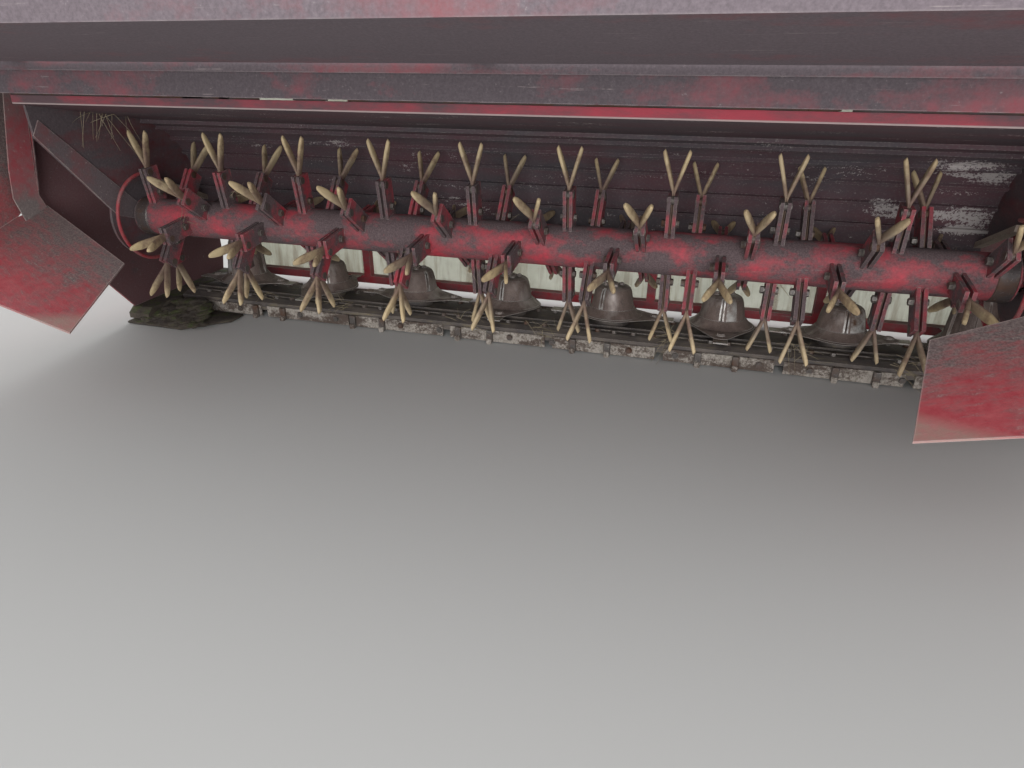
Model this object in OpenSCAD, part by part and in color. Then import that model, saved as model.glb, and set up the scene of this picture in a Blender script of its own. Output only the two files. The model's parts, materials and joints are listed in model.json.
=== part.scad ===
// Mower conditioner, mowing and conditioning unit.
// X runs to the right as seen from behind, Y runs forward, Z runs up from the ground.
// Heights are above the ground. Lengths along Y named "_y" are ahead of the rotor axis.

/* [Rotor] */
// Height of the rotor axis above the ground
axis_z = 450; // [430:5:500]
// Sideways offset of the rotor from the middle of the cutterbar
rotor_offset = -78; // [-90:1:-60]
// Outer diameter of the rotor tube
tube_d = 127; // [100:1:140]
// Wall of the rotor tube
tube_wall = 8; // [5:0.5:12]
// Gap between an end of the tube and the inner wall
tube_end_gap = 22; // [15:1:30]
// Number of tine stations along the tube
stations = 36; // [24:4:36]
// Distance of the first tine station from the tube's end
end_inset = 67.5; // [60:0.5:80]
// Angle of the first tine row behind the vertical
tine_phase = 7.26; // [0:0.01:45]
// Radius swept by the tips of the tines
tine_r = 298; // [270:1:300]
// Radius at which a tine forks
fork_r = 206; // [195:1:215]
// Half the distance between the two tips of a tine
tip_spread = 36; // [28:1:40]
// Width of a prong across the fork
prong_w = 12; // [10:1:16]
// Width of a tine's stem between the bracket plates
stem_w = 8; // [6:1:10]
// Width of a tine along its path
tine_t = 28; // [20:1:32]
// Radius to the outer end of a tine bracket
bracket_r = 178; // [165:1:185]
// Thickness of a bracket plate
bracket_plate = 10; // [8:1:14]
// Width of a bracket along its path
bracket_depth = 58; // [44:1:64]
// Diameter of the stub shafts
shaft_d = 50; // [40:1:60]

/* [Cutterbar] */
// Number of cutting discs
disc_count = 8; // [8:1:8]
// Distance between two disc centres
disc_pitch = 400; // [395:1:402]
// Distance of the housing's ends from the outer disc centres
bar_end = 200; // [190:1:210]
// Distance of the disc centres ahead of the rotor axis
disc_y = 420; // [410:1:425]
// Height of the housing's middle under the disc centres
bar_z = 36; // [34:1:44]
// Height of the flat housing
bar_h = 44; // [36:1:46]
// Forward tilt of the housing and the discs
bar_tilt = 4; // [2:0.5:5]
// Depth of the housing behind the disc centres
bar_rear = 185; // [165:1:190]
// Depth of the housing ahead of the disc centres
bar_front = 165; // [150:1:170]
// Half the length of a disc from tip to tip
disc_r = 194; // [185:1:196]
// Diameter of a disc's round middle
disc_d = 236; // [220:1:240]
// Radius of a disc's rounded tip
disc_tip_r = 34; // [28:1:40]
// Thickness of a disc
disc_t = 6; // [4:0.5:8]
// Gap between the housing and a disc
disc_gap = 32; // [26:1:36]
// Lower diameter of the hat on a disc
hat_d = 204; // [190:1:210]
// Upper diameter of the hat on a disc
hat_top_d = 156; // [140:1:170]
// Height of the hat on a disc
hat_h = 108; // [100:1:115]
// Height of the drums on the two outer discs
drum_h = 185; // [150:1:195]
// Radius swept by the knives
knife_r = 231; // [220:1:235]
// Width of a knife
knife_w = 48; // [40:1:50]
// Thickness of a knife
knife_t = 4; // [3:0.5:4.5]
// Diameter of a knife bolt
knife_bolt_d = 18; // [14:1:20]

/* [Side walls] */
// Distance of each inner wall from the end of the housing, with the rotor in the middle
inner_inset = 198; // [190:1:202]
// Thickness of a side wall
wall_t = 8; // [6:0.5:10]
// Distance of each outer wall's outer face from the end of the housing
outer_gap = 90; // [80:1:120]
// Width of the folded rear flange of an outer wall
flange_w = 60; // [40:1:70]
// Radius of the wall's round end about the rotor axis
lobe_r = 140; // [130:1:150]

/* [Covers] */
// Height of the top cover's upper face
cover_z = 970; // [950:1:990]
// Thickness of the cover sheets
sheet_t = 4; // [3:0.5:6]
// Distance of the cover's rear edge behind the rotor axis
seam_y = 480; // [470:1:500]
// Distance of the rear hood's end behind the rotor axis
hood_end_y = 1080; // [1000:5:1100]
// Rise of the rear hood from the seam to its end
hood_rise = 95; // [80:1:110]
// Height of the lip under the cover's rear edge
lip_h = 25; // [18:1:30]
// Distance of the front guard ahead of the rotor axis
guard_y = 684; // [680:1:700]
// Height of the guard's bottom bar above the ground
guard_low = 30; // [20:1:36]
// Side of the guard's square tubes
guard_tube = 34; // [28:1:40]
// Thickness of the front curtain
curtain_t = 6; // [4:0.5:8]

/* [Conditioning plate] */
// Gap between the tine tips and the conditioning plate
plate_gap = 34; // [26:1:40]
// Thickness of the conditioning plate
plate_t = 6; // [4:0.5:8]
// Number of ribs across the conditioning plate
rib_count = 7; // [4:1:8]
// Height of a rib
rib_h = 12; // [8:1:14]

/* [Carrying frame] */
// Side of the square main beam
beam_s = 140; // [120:1:160]
// Wall of the main beam
beam_wall = 8; // [6:0.5:12]
// Distance of each coupling bracket from the middle
coupling_x = 620; // [560:5:680]
// Clear width between the two plates of a coupling bracket
coupling_gap = 80; // [70:1:90]
// Thickness of a coupling plate
coupling_t = 16; // [12:1:20]
// Diameter of the coupling pins
coupling_pin_d = 40; // [30:1:45]
// Diameter of the input shaft
input_d = 35; // [30:1:45]
// Free length of the input shaft
input_len = 98; // [70:1:98]

/* [Swath shields] */
// Thickness of a shield plate
shield_t = 5; // [4:0.5:6]
// Distance of a shield's inner lower corner from the middle of the rotor
shield_inner_x = 1028; // [1020:1:1060]
// Distance of a shield's inner lower corner behind the rotor axis
shield_rear_y = 727; // [700:1:740]
// Height of a shield's inner lower corner
shield_low = 302; // [290:1:320]
// Height of the upper edge of a shield's side plate
shield_top = 930; // [850:5:930]
// Distance of each hinge pin from the outer face of the outer wall
hinge_inset = 30; // [28:1:34]
// Distance of each hinge axis behind the sloping rear edge of the outer wall
hinge_gap = 28; // [28:1:34]
// Diameter of a shield's hinge pin
hinge_pin_d = 16; // [14:1:18]

/* [Hidden] */
$fn = 48;
big = 5000;
seat = 0.3;
fit = 0.05;
// Front and rear ends of the unit, which set where the rotor axis lies in Y
front_reach = guard_y + guard_tube + seat + curtain_t;
axis_y = (hood_end_y - front_reach) / 2;
red = "#9c2630";
dark_red = "#6e2028";
steel = "#4b4644";
worn_steel = "#9a948c";
nylon = "#c9b98c";
// Half width of the housing
bar_half = (disc_count - 1) * disc_pitch / 2 + bar_end;
wall_x = bar_half - inner_inset;
outer_x = bar_half + outer_gap;
tube_len = 2 * (wall_x - tube_end_gap);
half_stations = tube_len / 2 - end_inset;
station_pitch = 2 * half_stations / (stations - 1);
tube_r = tube_d / 2;
fork_base_w = 1.25 * prong_w;
bracket_gap = stem_w + 2 * seat;
stub_in = 60;
bearing_d = shaft_d + 46;
bearing_flange_d = bearing_d + 54;
bearing_len = 42;
strip_plate = 8;
// Section of the housing about the middle under the discs, and the disc's place on it
bar_mid = bar_h / 2;
bar_section = [
    [-bar_rear, 4 - bar_mid], [-bar_rear + 2, bar_mid - 10], [-bar_rear + 35, bar_mid],
    [bar_front - 105, bar_mid], [bar_front - 15, 2], [bar_front, 8 - bar_mid],
    [bar_front - 25, -bar_mid], [-bar_rear + 35, -bar_mid]];
boss_h = disc_gap / 2;
disc_low = bar_mid + disc_gap;
disc_top = disc_low + disc_t;
spindle_d = 44;
spindle_in = 30;
knife_x = disc_r - disc_tip_r + 1;
cover_low = cover_z - sheet_t;
cover_slope_y = 500;
cover_front_y = guard_y - 50;
cover_front_z = cover_z - 70;
cover_half = outer_x;
wall_rear_y = seam_y - 130;
wall_reach = disc_y + 180;
sledge_h = 60;
wall_front_y = cover_front_y - sheet_t - seat;
// Point of the tilted section, as ahead of the disc centres and above the ground
function tilted(p) = [
    p[0] * cos(bar_tilt) + p[1] * sin(bar_tilt), bar_z - p[0] * sin(bar_tilt) + p[1] * cos(bar_tilt)];
// Height of the cover's upper and lower faces on its front slope
function cover_top(y) =
    cover_z - (y - cover_slope_y) * (cover_z - cover_front_z) / (cover_front_y - cover_slope_y);
function cover_under(y) =
    cover_low - (y - cover_slope_y) * (cover_z - cover_front_z) / (cover_front_y - sheet_t - cover_slope_y);
hood_half = outer_x - 40;
hood_axis_z = cover_z + 22;
hood_gap = 26;
hood_pin_d = 16;
guard_axis_y = guard_y - 12;
guard_axis_z = cover_front_z + 18;
guard_half = outer_x - 30;
plate_r = tine_r + plate_gap;
side_x = -disc_at(0);
beam_y = disc_y - beam_s / 2;
beam_half = side_x - 110;
beam_top = cover_z + beam_s;
coupling_y = beam_y - 90;
coupling_z = beam_top + 60;
coupling_depth = 170;
coupling_rise = 110;
gear_w = 230;
gear_h = 120;
gear_foot = [gear_w, 200, 20];
gear_body = [gear_w - 50, 170, 180];
gear_neck_len = 125;
side_foot = [200, 180, 16];
side_body = [150, 130, 190];
gear_z = beam_top + gear_h;
gear_y = axis_y + disc_y;
gear_neck_d = 130;
cross_d = 60;
column_d = 90;
column_z = tilted([0, disc_top + drum_h])[1] + hat_top_d / 2 * sin(bar_tilt) + 8;
belt_low = [0, axis_z];
belt_high = [290, cover_low - 146];
belt_low_r = 95;
belt_high_r = 120;
belt_w = 110;
plate_end_a = 98;
// Stiffening strip, and the channel beam between it and the seam
strip_y = seam_y - 98;
strip_low = cover_low - 114;
strip_h = 24;
strip_t = 6;
strip_rise = strip_low + 3 - axis_z;
strip_dist = norm([strip_y, strip_rise]);
join_a = acos((plate_r + plate_t / 2) / strip_dist) - atan2(strip_y, strip_rise);
join_run = sqrt(pow(strip_dist, 2) - pow(plate_r + plate_t / 2, 2));
channel_rear = seam_y - 40;
channel_front = seam_y - 120;
channel_h = 82;
channel_t = 6;
first_rib_a = 16;
rib_step_a = 13;
rib_w = 10;
prong_a = atan2(tip_spread, tine_r - fork_r);
tip_r = prong_w / 2 - 1;
// Rear edge of an outer wall, as behind the rotor axis and above the ground
wall_rear_top = [180, cover_low];
wall_rear_low = [260, axis_z + 125];
function wall_rear(z) = wall_rear_low[0] - (z - wall_rear_low[1]) *
    (wall_rear_low[0] - wall_rear_top[0]) / (wall_rear_top[1] - wall_rear_low[1]);
wall_knee_z = axis_z + 50;
hinge_x = outer_x - hinge_inset;
hinge_z = axis_z + 300;
hinge_lean = atan2(wall_rear_low[0] - wall_rear_top[0], wall_rear_top[1] - wall_rear_low[1]);
barrel_h = 200;
barrel_d = hinge_pin_d + 24;
lug_d = hinge_pin_d + 4;
lug_t = 12;
lug_z = barrel_h / 2 + 3;
notch = 8;
// Rise of a shield's sloping plate outwards and forwards, and the lean of its lower edge
shield_rise_x = 0.112;
shield_rise_y = 0.314;
shield_lean = 0.133;
side_plate_x = hinge_x + barrel_d / 2 - 2;
shield_side_x = side_plate_x + shield_t / 2;
shield_front_gap = hinge_gap / 2;
// Point of a shield's sloping plate, whose inner corner is at the given x
function on_shield(p, inner) = [
    p[0], p[1], shield_low + shield_rise_x * (p[0] - inner) + shield_rise_y * (p[1] + shield_rear_y)];
hinge_places = [-1300, 0, 1300];
ear_t = 12;
knuckle_w = 60;
knuckle_d = 30;
knuckle_gap = 4;
ear_x = knuckle_w / 2 + knuckle_gap;
pin_len = 2 * (ear_x + ear_t);
guard_top = cover_front_z - 8;
guard_posts = [-1600, -960, -320, 320, 960, 1600];

module at_axis() translate([rotor_offset, axis_y, 0]) children();
module each_side() { children(); mirror([1, 0, 0]) children(); }
// Turns an outline drawn in Y and Z into a plate that starts at x and is t thick
module plate_x(x, t) translate([x, 0, 0]) rotate([90, 0, 90]) linear_extrude(t) children();

// Rotor tube with its paired bracket plates and stub shafts
module rotor() color(dark_red) at_axis() translate([0, 0, axis_z]) {
    rotate([0, 90, 0]) difference() {
        cylinder(d = tube_d, h = tube_len, center = true);
        cylinder(d = tube_d - 2 * tube_wall, h = tube_len - 2 * tube_wall, center = true);
    }
    each_side() translate([tube_len / 2 - 1, 0, 0]) rotate([0, 90, 0])
        cylinder(d = shaft_d, h = wall_x - tube_len / 2 + stub_in);
    for (j = [0:stations - 1], side = [0, 180])
        translate([j * station_pitch - half_stations, 0, 0])
            rotate([tine_phase - 45 * j + side, 0, 0]) bracket();
}
module bracket() each_side()
    translate([bracket_gap / 2, -bracket_depth / 2, tube_r - 6])
        cube([bracket_plate, bracket_depth, bracket_r - tube_r + 6]);

// Forked tines, one to each bracket
module tines() color(nylon) at_axis() translate([0, 0, axis_z])
    for (j = [0:stations - 1], side = [0, 180])
        translate([j * station_pitch - half_stations, 0, 0])
            rotate([tine_phase - 45 * j + side, 0, 0]) rotate([90, 0, 0])
                linear_extrude(tine_t, center = true) tine_outline();
function tip_point(side, a) =
    [side * (tip_spread + tip_r * cos(a)), tine_r - tip_r + tip_r * sin(a)];
function prong(side) = [
    [side * fork_base_w / 2, bracket_r + 4],
    for (a = [-prong_a : 36 : 180 - prong_a]) tip_point(side, a)
];
function reversed(v) = [for (i = [len(v) - 1 : -1 : 0]) v[i]];
module tine_outline() polygon(concat(
    [[stem_w / 2, tube_r + seat], [stem_w / 2, bracket_r]], prong(1), [[0, fork_r + 14]],
    reversed(prong(-1)), [[-stem_w / 2, bracket_r], [-stem_w / 2, tube_r + seat]]));

// Flat gear housing under the discs, with a boss for each spindle
module cutterbar() color(steel) translate([0, axis_y + disc_y, 0]) difference() {
    union() {
        plate_x(-bar_half, 2 * bar_half) polygon([for (p = bar_section) tilted(p)]);
        on_bar() for (i = [0:disc_count - 1]) translate([disc_at(i), 0, bar_mid - 2])
            cylinder(d = 130, h = boss_h + 2);
    }
    on_bar() for (i = [0:disc_count - 1]) translate([disc_at(i), 0, bar_mid - spindle_in])
        cylinder(d = spindle_d + 2 * fit, h = spindle_in + boss_h + 1);
}
module on_bar() translate([0, 0, bar_z]) rotate([-bar_tilt, 0, 0]) children();
function disc_at(i) = (i - (disc_count - 1) / 2) * disc_pitch;

// Shoes under the housing, one below each disc
module bar_skids() color(worn_steel) translate([0, axis_y + disc_y, 0])
    for (i = [0:disc_count - 1]) plate_x(disc_at(i) - 150, 300) difference() {
        polygon([
            [-bar_rear + 12, 0], [bar_front - 10, 0], [bar_front + 14, 16], [bar_front + 14, 30],
            [bar_front - 12, 30], [0, bar_z], [-bar_rear + 12, bar_z]]);
        offset(delta = seat) polygon([for (p = bar_section) tilted(p)]);
    }

// Worn strips along the rear edge of the housing
module wear_strips() color(worn_steel)
    translate([0, axis_y + disc_y + tilted(bar_section[0])[0] - seat - strip_plate, 6])
        for (i = [0:disc_count - 1]) translate([disc_at(i) - 185, 0, 0]) cube([370, strip_plate, bar_h]);

// Sledges at both ends of the housing, which carry the outer walls
module end_skids() color(steel) translate([0, axis_y, 0]) each_side()
    plate_x(bar_half, outer_x - bar_half + 4) polygon([
        [70, 0], [disc_y + bar_front - 40, 0], [disc_y + bar_front + 40, 34],
        [disc_y + bar_front + 40, sledge_h], [60, sledge_h], [32, 40], [32, 18]]);

// Disc with two tips, its hat and its spindle
module disc(i) color(steel) translate([disc_at(i - 1), axis_y + disc_y, 0]) on_bar() {
    tall = i == 1 || i == disc_count;
    h = tall ? drum_h : hat_h;
    translate([0, 0, bar_mid - spindle_in + 2]) cylinder(d = spindle_d, h = disc_gap + spindle_in);
    rotate([0, 0, quarter(i)]) {
        translate([0, 0, disc_low]) linear_extrude(disc_t) disc_outline();
        for (s = [-1, 1]) translate([s * knife_x, 0, disc_low - knife_t - 1])
            cylinder(d = knife_bolt_d, h = knife_t + 2);
    }
    translate([0, 0, disc_top]) rotate_extrude() polygon([
        [0, 0], [hat_d / 2, 0], [hat_d / 2, 4], [hat_d / 2 - 8, 14],
        [hat_top_d / 2 + 4, h - 22], [hat_top_d / 2 - 2, h - 8], [hat_top_d / 2 - 14, h], [0, h]]);
}
// Neighbouring discs stand a quarter turn apart, so that their knives never meet
function quarter(i) = (i + 1) % 2 * 90;
module disc_outline() hull() {
    circle(d = disc_d, $fn = 96);
    for (s = [-1, 1]) translate([s * (disc_r - disc_tip_r), 0]) circle(disc_tip_r);
}

// Pair of knives hung under the tips of a disc
module knives(i) color(worn_steel) translate([disc_at(i - 1), axis_y + disc_y, 0]) on_bar()
    for (s = [0, 180]) rotate([0, 0, quarter(i) + s]) translate([knife_x, 0, disc_low - knife_t]) difference() {
        translate([-28, -knife_w / 2, 0]) cube([knife_r - knife_x + 28, knife_w, knife_t]);
        translate([0, 0, -1]) cylinder(d = knife_bolt_d + 2 * seat, h = knife_t + 2);
    }

// Inner side walls with a round end about the rotor shaft
module inner_wall() plate_x(wall_x, wall_t) difference() {
    union() {
        polygon([
            [-wall_rear_y, cover_low], [-wall_rear_y + 5, axis_z + 303], [-111, axis_z + 24],
            [0, axis_z - 20], [88, axis_z + 110], [wall_reach, axis_z - 109],
            [wall_reach, cover_under(wall_reach)], [cover_slope_y, cover_low]]);
        translate([0, axis_z]) circle(lobe_r);
    }
    translate([0, axis_z]) circle(d = shaft_d + 20);
}
module inner_wall_left() color(dark_red) at_axis() mirror([1, 0, 0]) inner_wall();
module inner_wall_right() color(dark_red) at_axis() inner_wall();

// Outer side walls with a folded rear flange, standing on the end sledges
module outer_wall() translate([0, axis_y, 0]) {
    plate_x(outer_x - wall_t, wall_t) polygon([
        [-wall_rear_top[0], cover_low], [-wall_rear(wall_knee_z), wall_knee_z], [-100, axis_z - 190],
        [60, sledge_h], [disc_y + bar_front + 30, sledge_h],
        [wall_front_y, 2 * sledge_h], [wall_front_y, cover_under(wall_front_y)], [cover_slope_y, cover_low]]);
    plate_x(outer_x - flange_w, flange_w - 1) polygon([
        [-wall_rear_top[0], cover_low], [-wall_rear_low[0], wall_rear_low[1]],
        [sheet_t - wall_rear_low[0], wall_rear_low[1]], [sheet_t - wall_rear_top[0], cover_low]]);
}
module outer_wall_left() color(red) mirror([1, 0, 0]) outer_wall();
module outer_wall_right() color(red) outer_wall();

// Flanged bearings of the rotor on the outside of the inner walls
module rotor_bearings() color(steel) at_axis() each_side()
    translate([wall_x + wall_t, 0, axis_z]) rotate([0, 90, 0]) difference() {
        union() {
            cylinder(d = bearing_flange_d, h = 12);
            cylinder(d = bearing_d, h = bearing_len);
        }
        translate([0, 0, -1]) cylinder(d = shaft_d + 2 * fit, h = bearing_len + 2);
    }

// Top cover from the front guard to the seam, with a folded lip at its rear edge
module top_cover() color(red) translate([0, axis_y, 0]) {
    plate_x(-cover_half, 2 * cover_half) polygon([
        [-seam_y, cover_z - lip_h], [-seam_y, cover_z], [cover_slope_y, cover_z],
        [cover_front_y, cover_front_z], [cover_front_y, cover_front_z - 24],
        [cover_front_y - sheet_t, cover_front_z - 24], [cover_front_y - sheet_t, cover_front_z - sheet_t],
        [cover_slope_y, cover_low], [-seam_y + sheet_t, cover_low], [-seam_y + sheet_t, cover_z - lip_h]]);
}

// Channel beam below the lip, between the inner walls
module rear_beam() color(dark_red) at_axis()
    plate_x(-wall_x + seat, 2 * (wall_x - seat)) difference() {
        translate([-channel_rear, cover_low - channel_h])
            square([channel_rear - channel_front, channel_h - seat]);
        translate([channel_t - channel_rear, cover_low - channel_h + channel_t])
            square([channel_rear, channel_h - seat - 2 * channel_t]);
    }

// Plate over the rotor: straight from the stiffening strip, then round the tine tips, with cross ribs
module conditioner_plate() color(dark_red) at_axis()
    plate_x(-wall_x + seat, 2 * (wall_x - seat)) translate([0, axis_z]) {
        intersection() {
            difference() {
                circle(plate_r + plate_t, $fn = 96);
                circle(plate_r, $fn = 96);
            }
            polygon([[0, 0], for (a = [join_a - 0.5, 45, 70, plate_end_a]) big * toward(a)]);
        }
        rotate(-join_a) translate([-join_run, plate_r]) square([join_run + 1, plate_t]);
        translate([-strip_y - strip_t / 2, strip_low - axis_z]) square([strip_t, strip_h]);
        for (i = [0:rib_count - 1]) rotate(90 - first_rib_a - i * rib_step_a)
            translate([plate_r - rib_h, -rib_w / 2]) square([rib_h + 2, rib_w]);
    }
function toward(a) = [sin(a), cos(a)];

// Square main beam on the top cover
module main_beam() color(red) translate([0, axis_y + beam_y, cover_z]) difference() {
    translate([-beam_half, 0, 0]) cube([2 * beam_half, beam_s, beam_s]);
    translate([-beam_half + beam_wall, beam_wall, beam_wall])
        cube([2 * beam_half - 2 * beam_wall, beam_s - 2 * beam_wall, beam_s - 2 * beam_wall]);
}

// Brackets with pin bores behind the beam, where the carrier takes the unit
module coupling_brackets() color(red) translate([0, axis_y, 0])
    each_side() for (x = [coupling_x, coupling_x + coupling_gap + coupling_t]) difference() {
        plate_x(x, coupling_t) polygon([
            [beam_y - seat, cover_z + seat], [beam_y - seat, beam_top],
            [beam_y - 50, beam_top + coupling_rise], [beam_y - 130, beam_top + coupling_rise],
            [beam_y - coupling_depth, beam_top + 40], [beam_y - coupling_depth, cover_z + seat]]);
        translate([x - 1, coupling_y, coupling_z]) rotate([0, 90, 0])
            cylinder(d = coupling_pin_d, h = coupling_t + 2);
    }

// Block on its foot, in the middle in X and Y
module upright(size) translate([-size[0] / 2, -size[1] / 2, 0]) cube(size);
// Main gearbox on the beam
module gearbox() color(steel) translate([0, gear_y, beam_top]) difference() {
    union() {
        upright(gear_foot);
        translate([0, 0, gear_foot[2]]) upright(gear_body);
        translate([0, 0, gear_h]) rotate([-90, 0, 0]) cylinder(d = gear_neck_d, h = gear_neck_len);
        translate([-gear_w / 2, 0, gear_h]) rotate([0, 90, 0]) cylinder(d = gear_neck_d, h = gear_w);
    }
    translate([0, 60, gear_h]) rotate([-90, 0, 0])
        cylinder(d = input_d + 10 + 2 * seat, h = gear_neck_len - 55);
    translate([-gear_w / 2 - 1, 0, gear_h]) rotate([0, 90, 0]) cylinder(d = cross_d + 2 * seat, h = 41);
    translate([gear_w / 2 - 40, 0, gear_h]) rotate([0, 90, 0]) cylinder(d = cross_d + 2 * seat, h = 41);
}
// Input shaft, with its free end ahead of the gearbox
module input_shaft() color(worn_steel) translate([0, gear_y + 62, gear_z]) rotate([-90, 0, 0]) {
    cylinder(d = input_d + 10, h = gear_neck_len - 62);
    cylinder(d = input_d, h = gear_neck_len - 62 + input_len);
}

// Guard tubes of the cross shafts that run along the beam to both sides
module cross_shaft() color(steel) translate([0, gear_y, gear_z]) each_side()
    translate([gear_w / 2 - 38, 0, 0]) rotate([0, 90, 0]) difference() {
        cylinder(d = cross_d, h = side_x - gear_w / 2 - 60 + 38);
        translate([0, 0, -1]) cylinder(d = cross_d - 12, h = side_x);
    }

// Angle gearboxes at both ends of the beam
module side_gearbox() color(steel) each_side() translate([side_x, gear_y, cover_z]) difference() {
    union() {
        upright(side_foot);
        translate([0, 0, side_foot[2]]) cylinder(d = gear_neck_d, h = beam_s);
        translate([0, 0, beam_s]) upright(side_body);
    }
    translate([-side_body[0] / 2 - 1, 0, gear_z - cover_z]) rotate([0, 90, 0]) cylinder(d = cross_d + 2 * seat, h = 20);
}

// Housing of the upright drive shaft above the first drum
module drive_column() color(steel) translate([disc_at(0), axis_y + disc_y, column_z]) difference() {
    cylinder(d = column_d, h = cover_low - seat - column_z);
    translate([0, 0, -1]) cylinder(d = column_d - 12, h = cover_low - column_z + 2);
}

// Closed guard of the belt drive on the outside of the right inner wall
module belt_guard() color(red) at_axis() difference() {
    plate_x(wall_x + wall_t + seat, belt_w) belt_outline(0);
    plate_x(wall_x + wall_t + 4, belt_w - 8) belt_outline(sheet_t);
    translate([wall_x, 0, axis_z]) rotate([0, 90, 0]) cylinder(d = bearing_flange_d + 6, h = 20);
}
module belt_outline(inset) hull() {
    translate(belt_low) circle(belt_low_r - inset);
    translate(belt_high) circle(belt_high_r - inset);
}

// Hinge brackets and pins of the rear hood
module hood_hinges() color(steel) translate([0, axis_y - seam_y, hood_axis_z])
    for (x = hinge_places) translate([x, 0, 0]) {
        for (s = [-ear_x - ear_t, ear_x]) plate_x(s, ear_t) polygon([
            [80, -22 + seat], [12, -22 + seat], [-8, -10], [-8, 10], [8, 12], [80, -12]]);
        rotate([0, 90, 0]) cylinder(d = hood_pin_d, h = pin_len, center = true);
    }

// Rear hood that turns at the seam
module rear_hood() color(red) translate([0, axis_y - seam_y, 0]) {
    run = hood_end_y - seam_y;
    plate_x(-hood_half, 2 * hood_half) polygon([
        [-hood_gap, cover_z - 4], [-hood_gap, cover_z], [-run, cover_z + hood_rise],
        [-run, cover_z + hood_rise - 34], [-run + 4, cover_z + hood_rise - 34],
        [-run + 4, cover_z + hood_rise - 5]]);
    for (x = hinge_places) translate([x, 0, hood_axis_z]) {
        difference() {
            union() {
                rotate([0, 90, 0]) cylinder(d = knuckle_d, h = knuckle_w, center = true);
                plate_x(-knuckle_w / 2, knuckle_w) polygon([[0, -12], [0, 6], [-120, 4], [-120, -8], [-20, -21]]);
            }
            rotate([0, 90, 0]) cylinder(d = hood_pin_d + 2 * fit, h = knuckle_w + 2, center = true);
        }
    }
}

// Hinge brackets and pins of the front guard
module guard_hinges() color(steel) translate([0, axis_y, 0])
    for (x = hinge_places) translate([x, 0, 0]) {
        for (s = [-ear_x - ear_t, ear_x]) plate_x(s, ear_t) polygon([
            [cover_front_y - 90, cover_top(cover_front_y - 90) + seat],
            [cover_front_y, cover_front_z + seat],
            [guard_axis_y + 8, guard_axis_z - 12], [guard_axis_y + 8, guard_axis_z + 10],
            [guard_axis_y - 12, guard_axis_z + 12],
            [cover_front_y - 90, cover_top(cover_front_y - 90) + 14]]);
        translate([0, guard_axis_y, guard_axis_z]) rotate([0, 90, 0])
            cylinder(d = hood_pin_d, h = pin_len, center = true);
    }

// Frame of the front guard
module guard_frame() color(red) translate([0, axis_y, 0]) {
    t = guard_tube;
    translate([-guard_half, guard_y, guard_low]) cube([2 * guard_half, t, t]);
    translate([-guard_half, guard_y, guard_top - t]) cube([2 * guard_half, t, t]);
    for (x = guard_posts) translate([x - t / 2, guard_y, guard_low + t - 1])
        cube([t, t, guard_top - guard_low - 2 * t + 2]);
    for (x = hinge_places) translate([x, guard_axis_y, guard_axis_z]) difference() {
        union() {
            rotate([0, 90, 0]) cylinder(d = knuckle_d, h = knuckle_w, center = true);
            translate([-knuckle_w / 2, 0, -40]) cube([knuckle_w, guard_y - guard_axis_y + 4, 40]);
        }
        rotate([0, 90, 0]) cylinder(d = hood_pin_d + 2 * fit, h = knuckle_w + 2, center = true);
    }
}

// Cloth that hangs on the outside of the guard frame, above its bottom tube
module front_curtain() color("#6f7a70") translate([0, axis_y + guard_y + guard_tube + seat, 0])
    translate([-guard_half + 6, 0, guard_low + guard_tube + 2])
        cube([2 * guard_half - 12, curtain_t, guard_top - guard_low - guard_tube - 12]);

// Place of a shield's hinge, whose axis runs along the sloping rear edge of the outer wall
module on_hinge() translate([hinge_x, -wall_rear(hinge_z) - hinge_gap, hinge_z])
    rotate([-hinge_lean, 0, 0]) children();
// Lugs and pins of the swath shields on the rear flanges of the outer walls
module shield_brackets() color(steel) translate([0, axis_y, 0]) each_side() on_hinge() {
    for (z = [-lug_z - lug_t, lug_z]) translate([0, 0, z]) hull() {
        cylinder(d = lug_d, h = lug_t);
        translate([-lug_d / 2, hinge_gap * cos(hinge_lean) - seat - 2, 0]) cube([lug_d, 2, lug_t]);
    }
    cylinder(d = hinge_pin_d, h = 2 * lug_z + 2 * lug_t, center = true);
}

// Swath shield: a sloping plate that gathers the crop, and an upright side plate on a hinge barrel.
// The shift is the rotor's sideways place seen from that side.
module shield(shift) translate([0, axis_y, 0]) difference() {
    inner = shield_inner_x + shift;
    front_x = hinge_x - barrel_d / 2;
    lower = [shield_side_x, -shield_rear_y + shield_lean * (shield_side_x - inner)];
    upper = [shield_side_x, -wall_rear_low[0] - 70];
    front = [front_x, -425 + 0.411 * (front_x - inner - 72)];
    outline = [[inner, -shield_rear_y], lower, upper, front, [inner + 72, -425]];
    corners = [for (p = outline) on_shield(p, inner)];
    n = len(corners);
    union() {
        polyhedron(
            points = concat(corners, [for (p = corners) p + [0, 0, shield_t]]),
            faces = concat(
                [[for (i = [0:n - 1]) i]], [[for (i = [n - 1:-1:0]) n + i]],
                [for (i = [0:n - 1]) [i, n + i, n + (i + 1) % n, (i + 1) % n]]));
        plate_x(side_plate_x, shield_t) polygon([
            [-wall_rear(shield_top) - shield_front_gap, shield_top], [-seam_y + 2, shield_top],
            [lower[1], corners[1][2]], [upper[1], corners[2][2]],
            [-wall_rear(wall_knee_z + 20) - shield_front_gap, wall_knee_z + 20]]);
        on_hinge() cylinder(d = barrel_d, h = barrel_h, center = true);
    }
    on_hinge() {
        cylinder(d = hinge_pin_d + 2 * fit, h = barrel_h + 2, center = true);
        for (z = [-lug_z - lug_t, lug_z]) translate([0, -2, z - notch])
            cube([barrel_d, 2 * hinge_gap, lug_t + 2 * notch]);
    }
}
module shield_left() color(red) mirror([1, 0, 0]) shield(-rotor_offset);
module shield_right() color(red) shield(rotor_offset);

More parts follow.
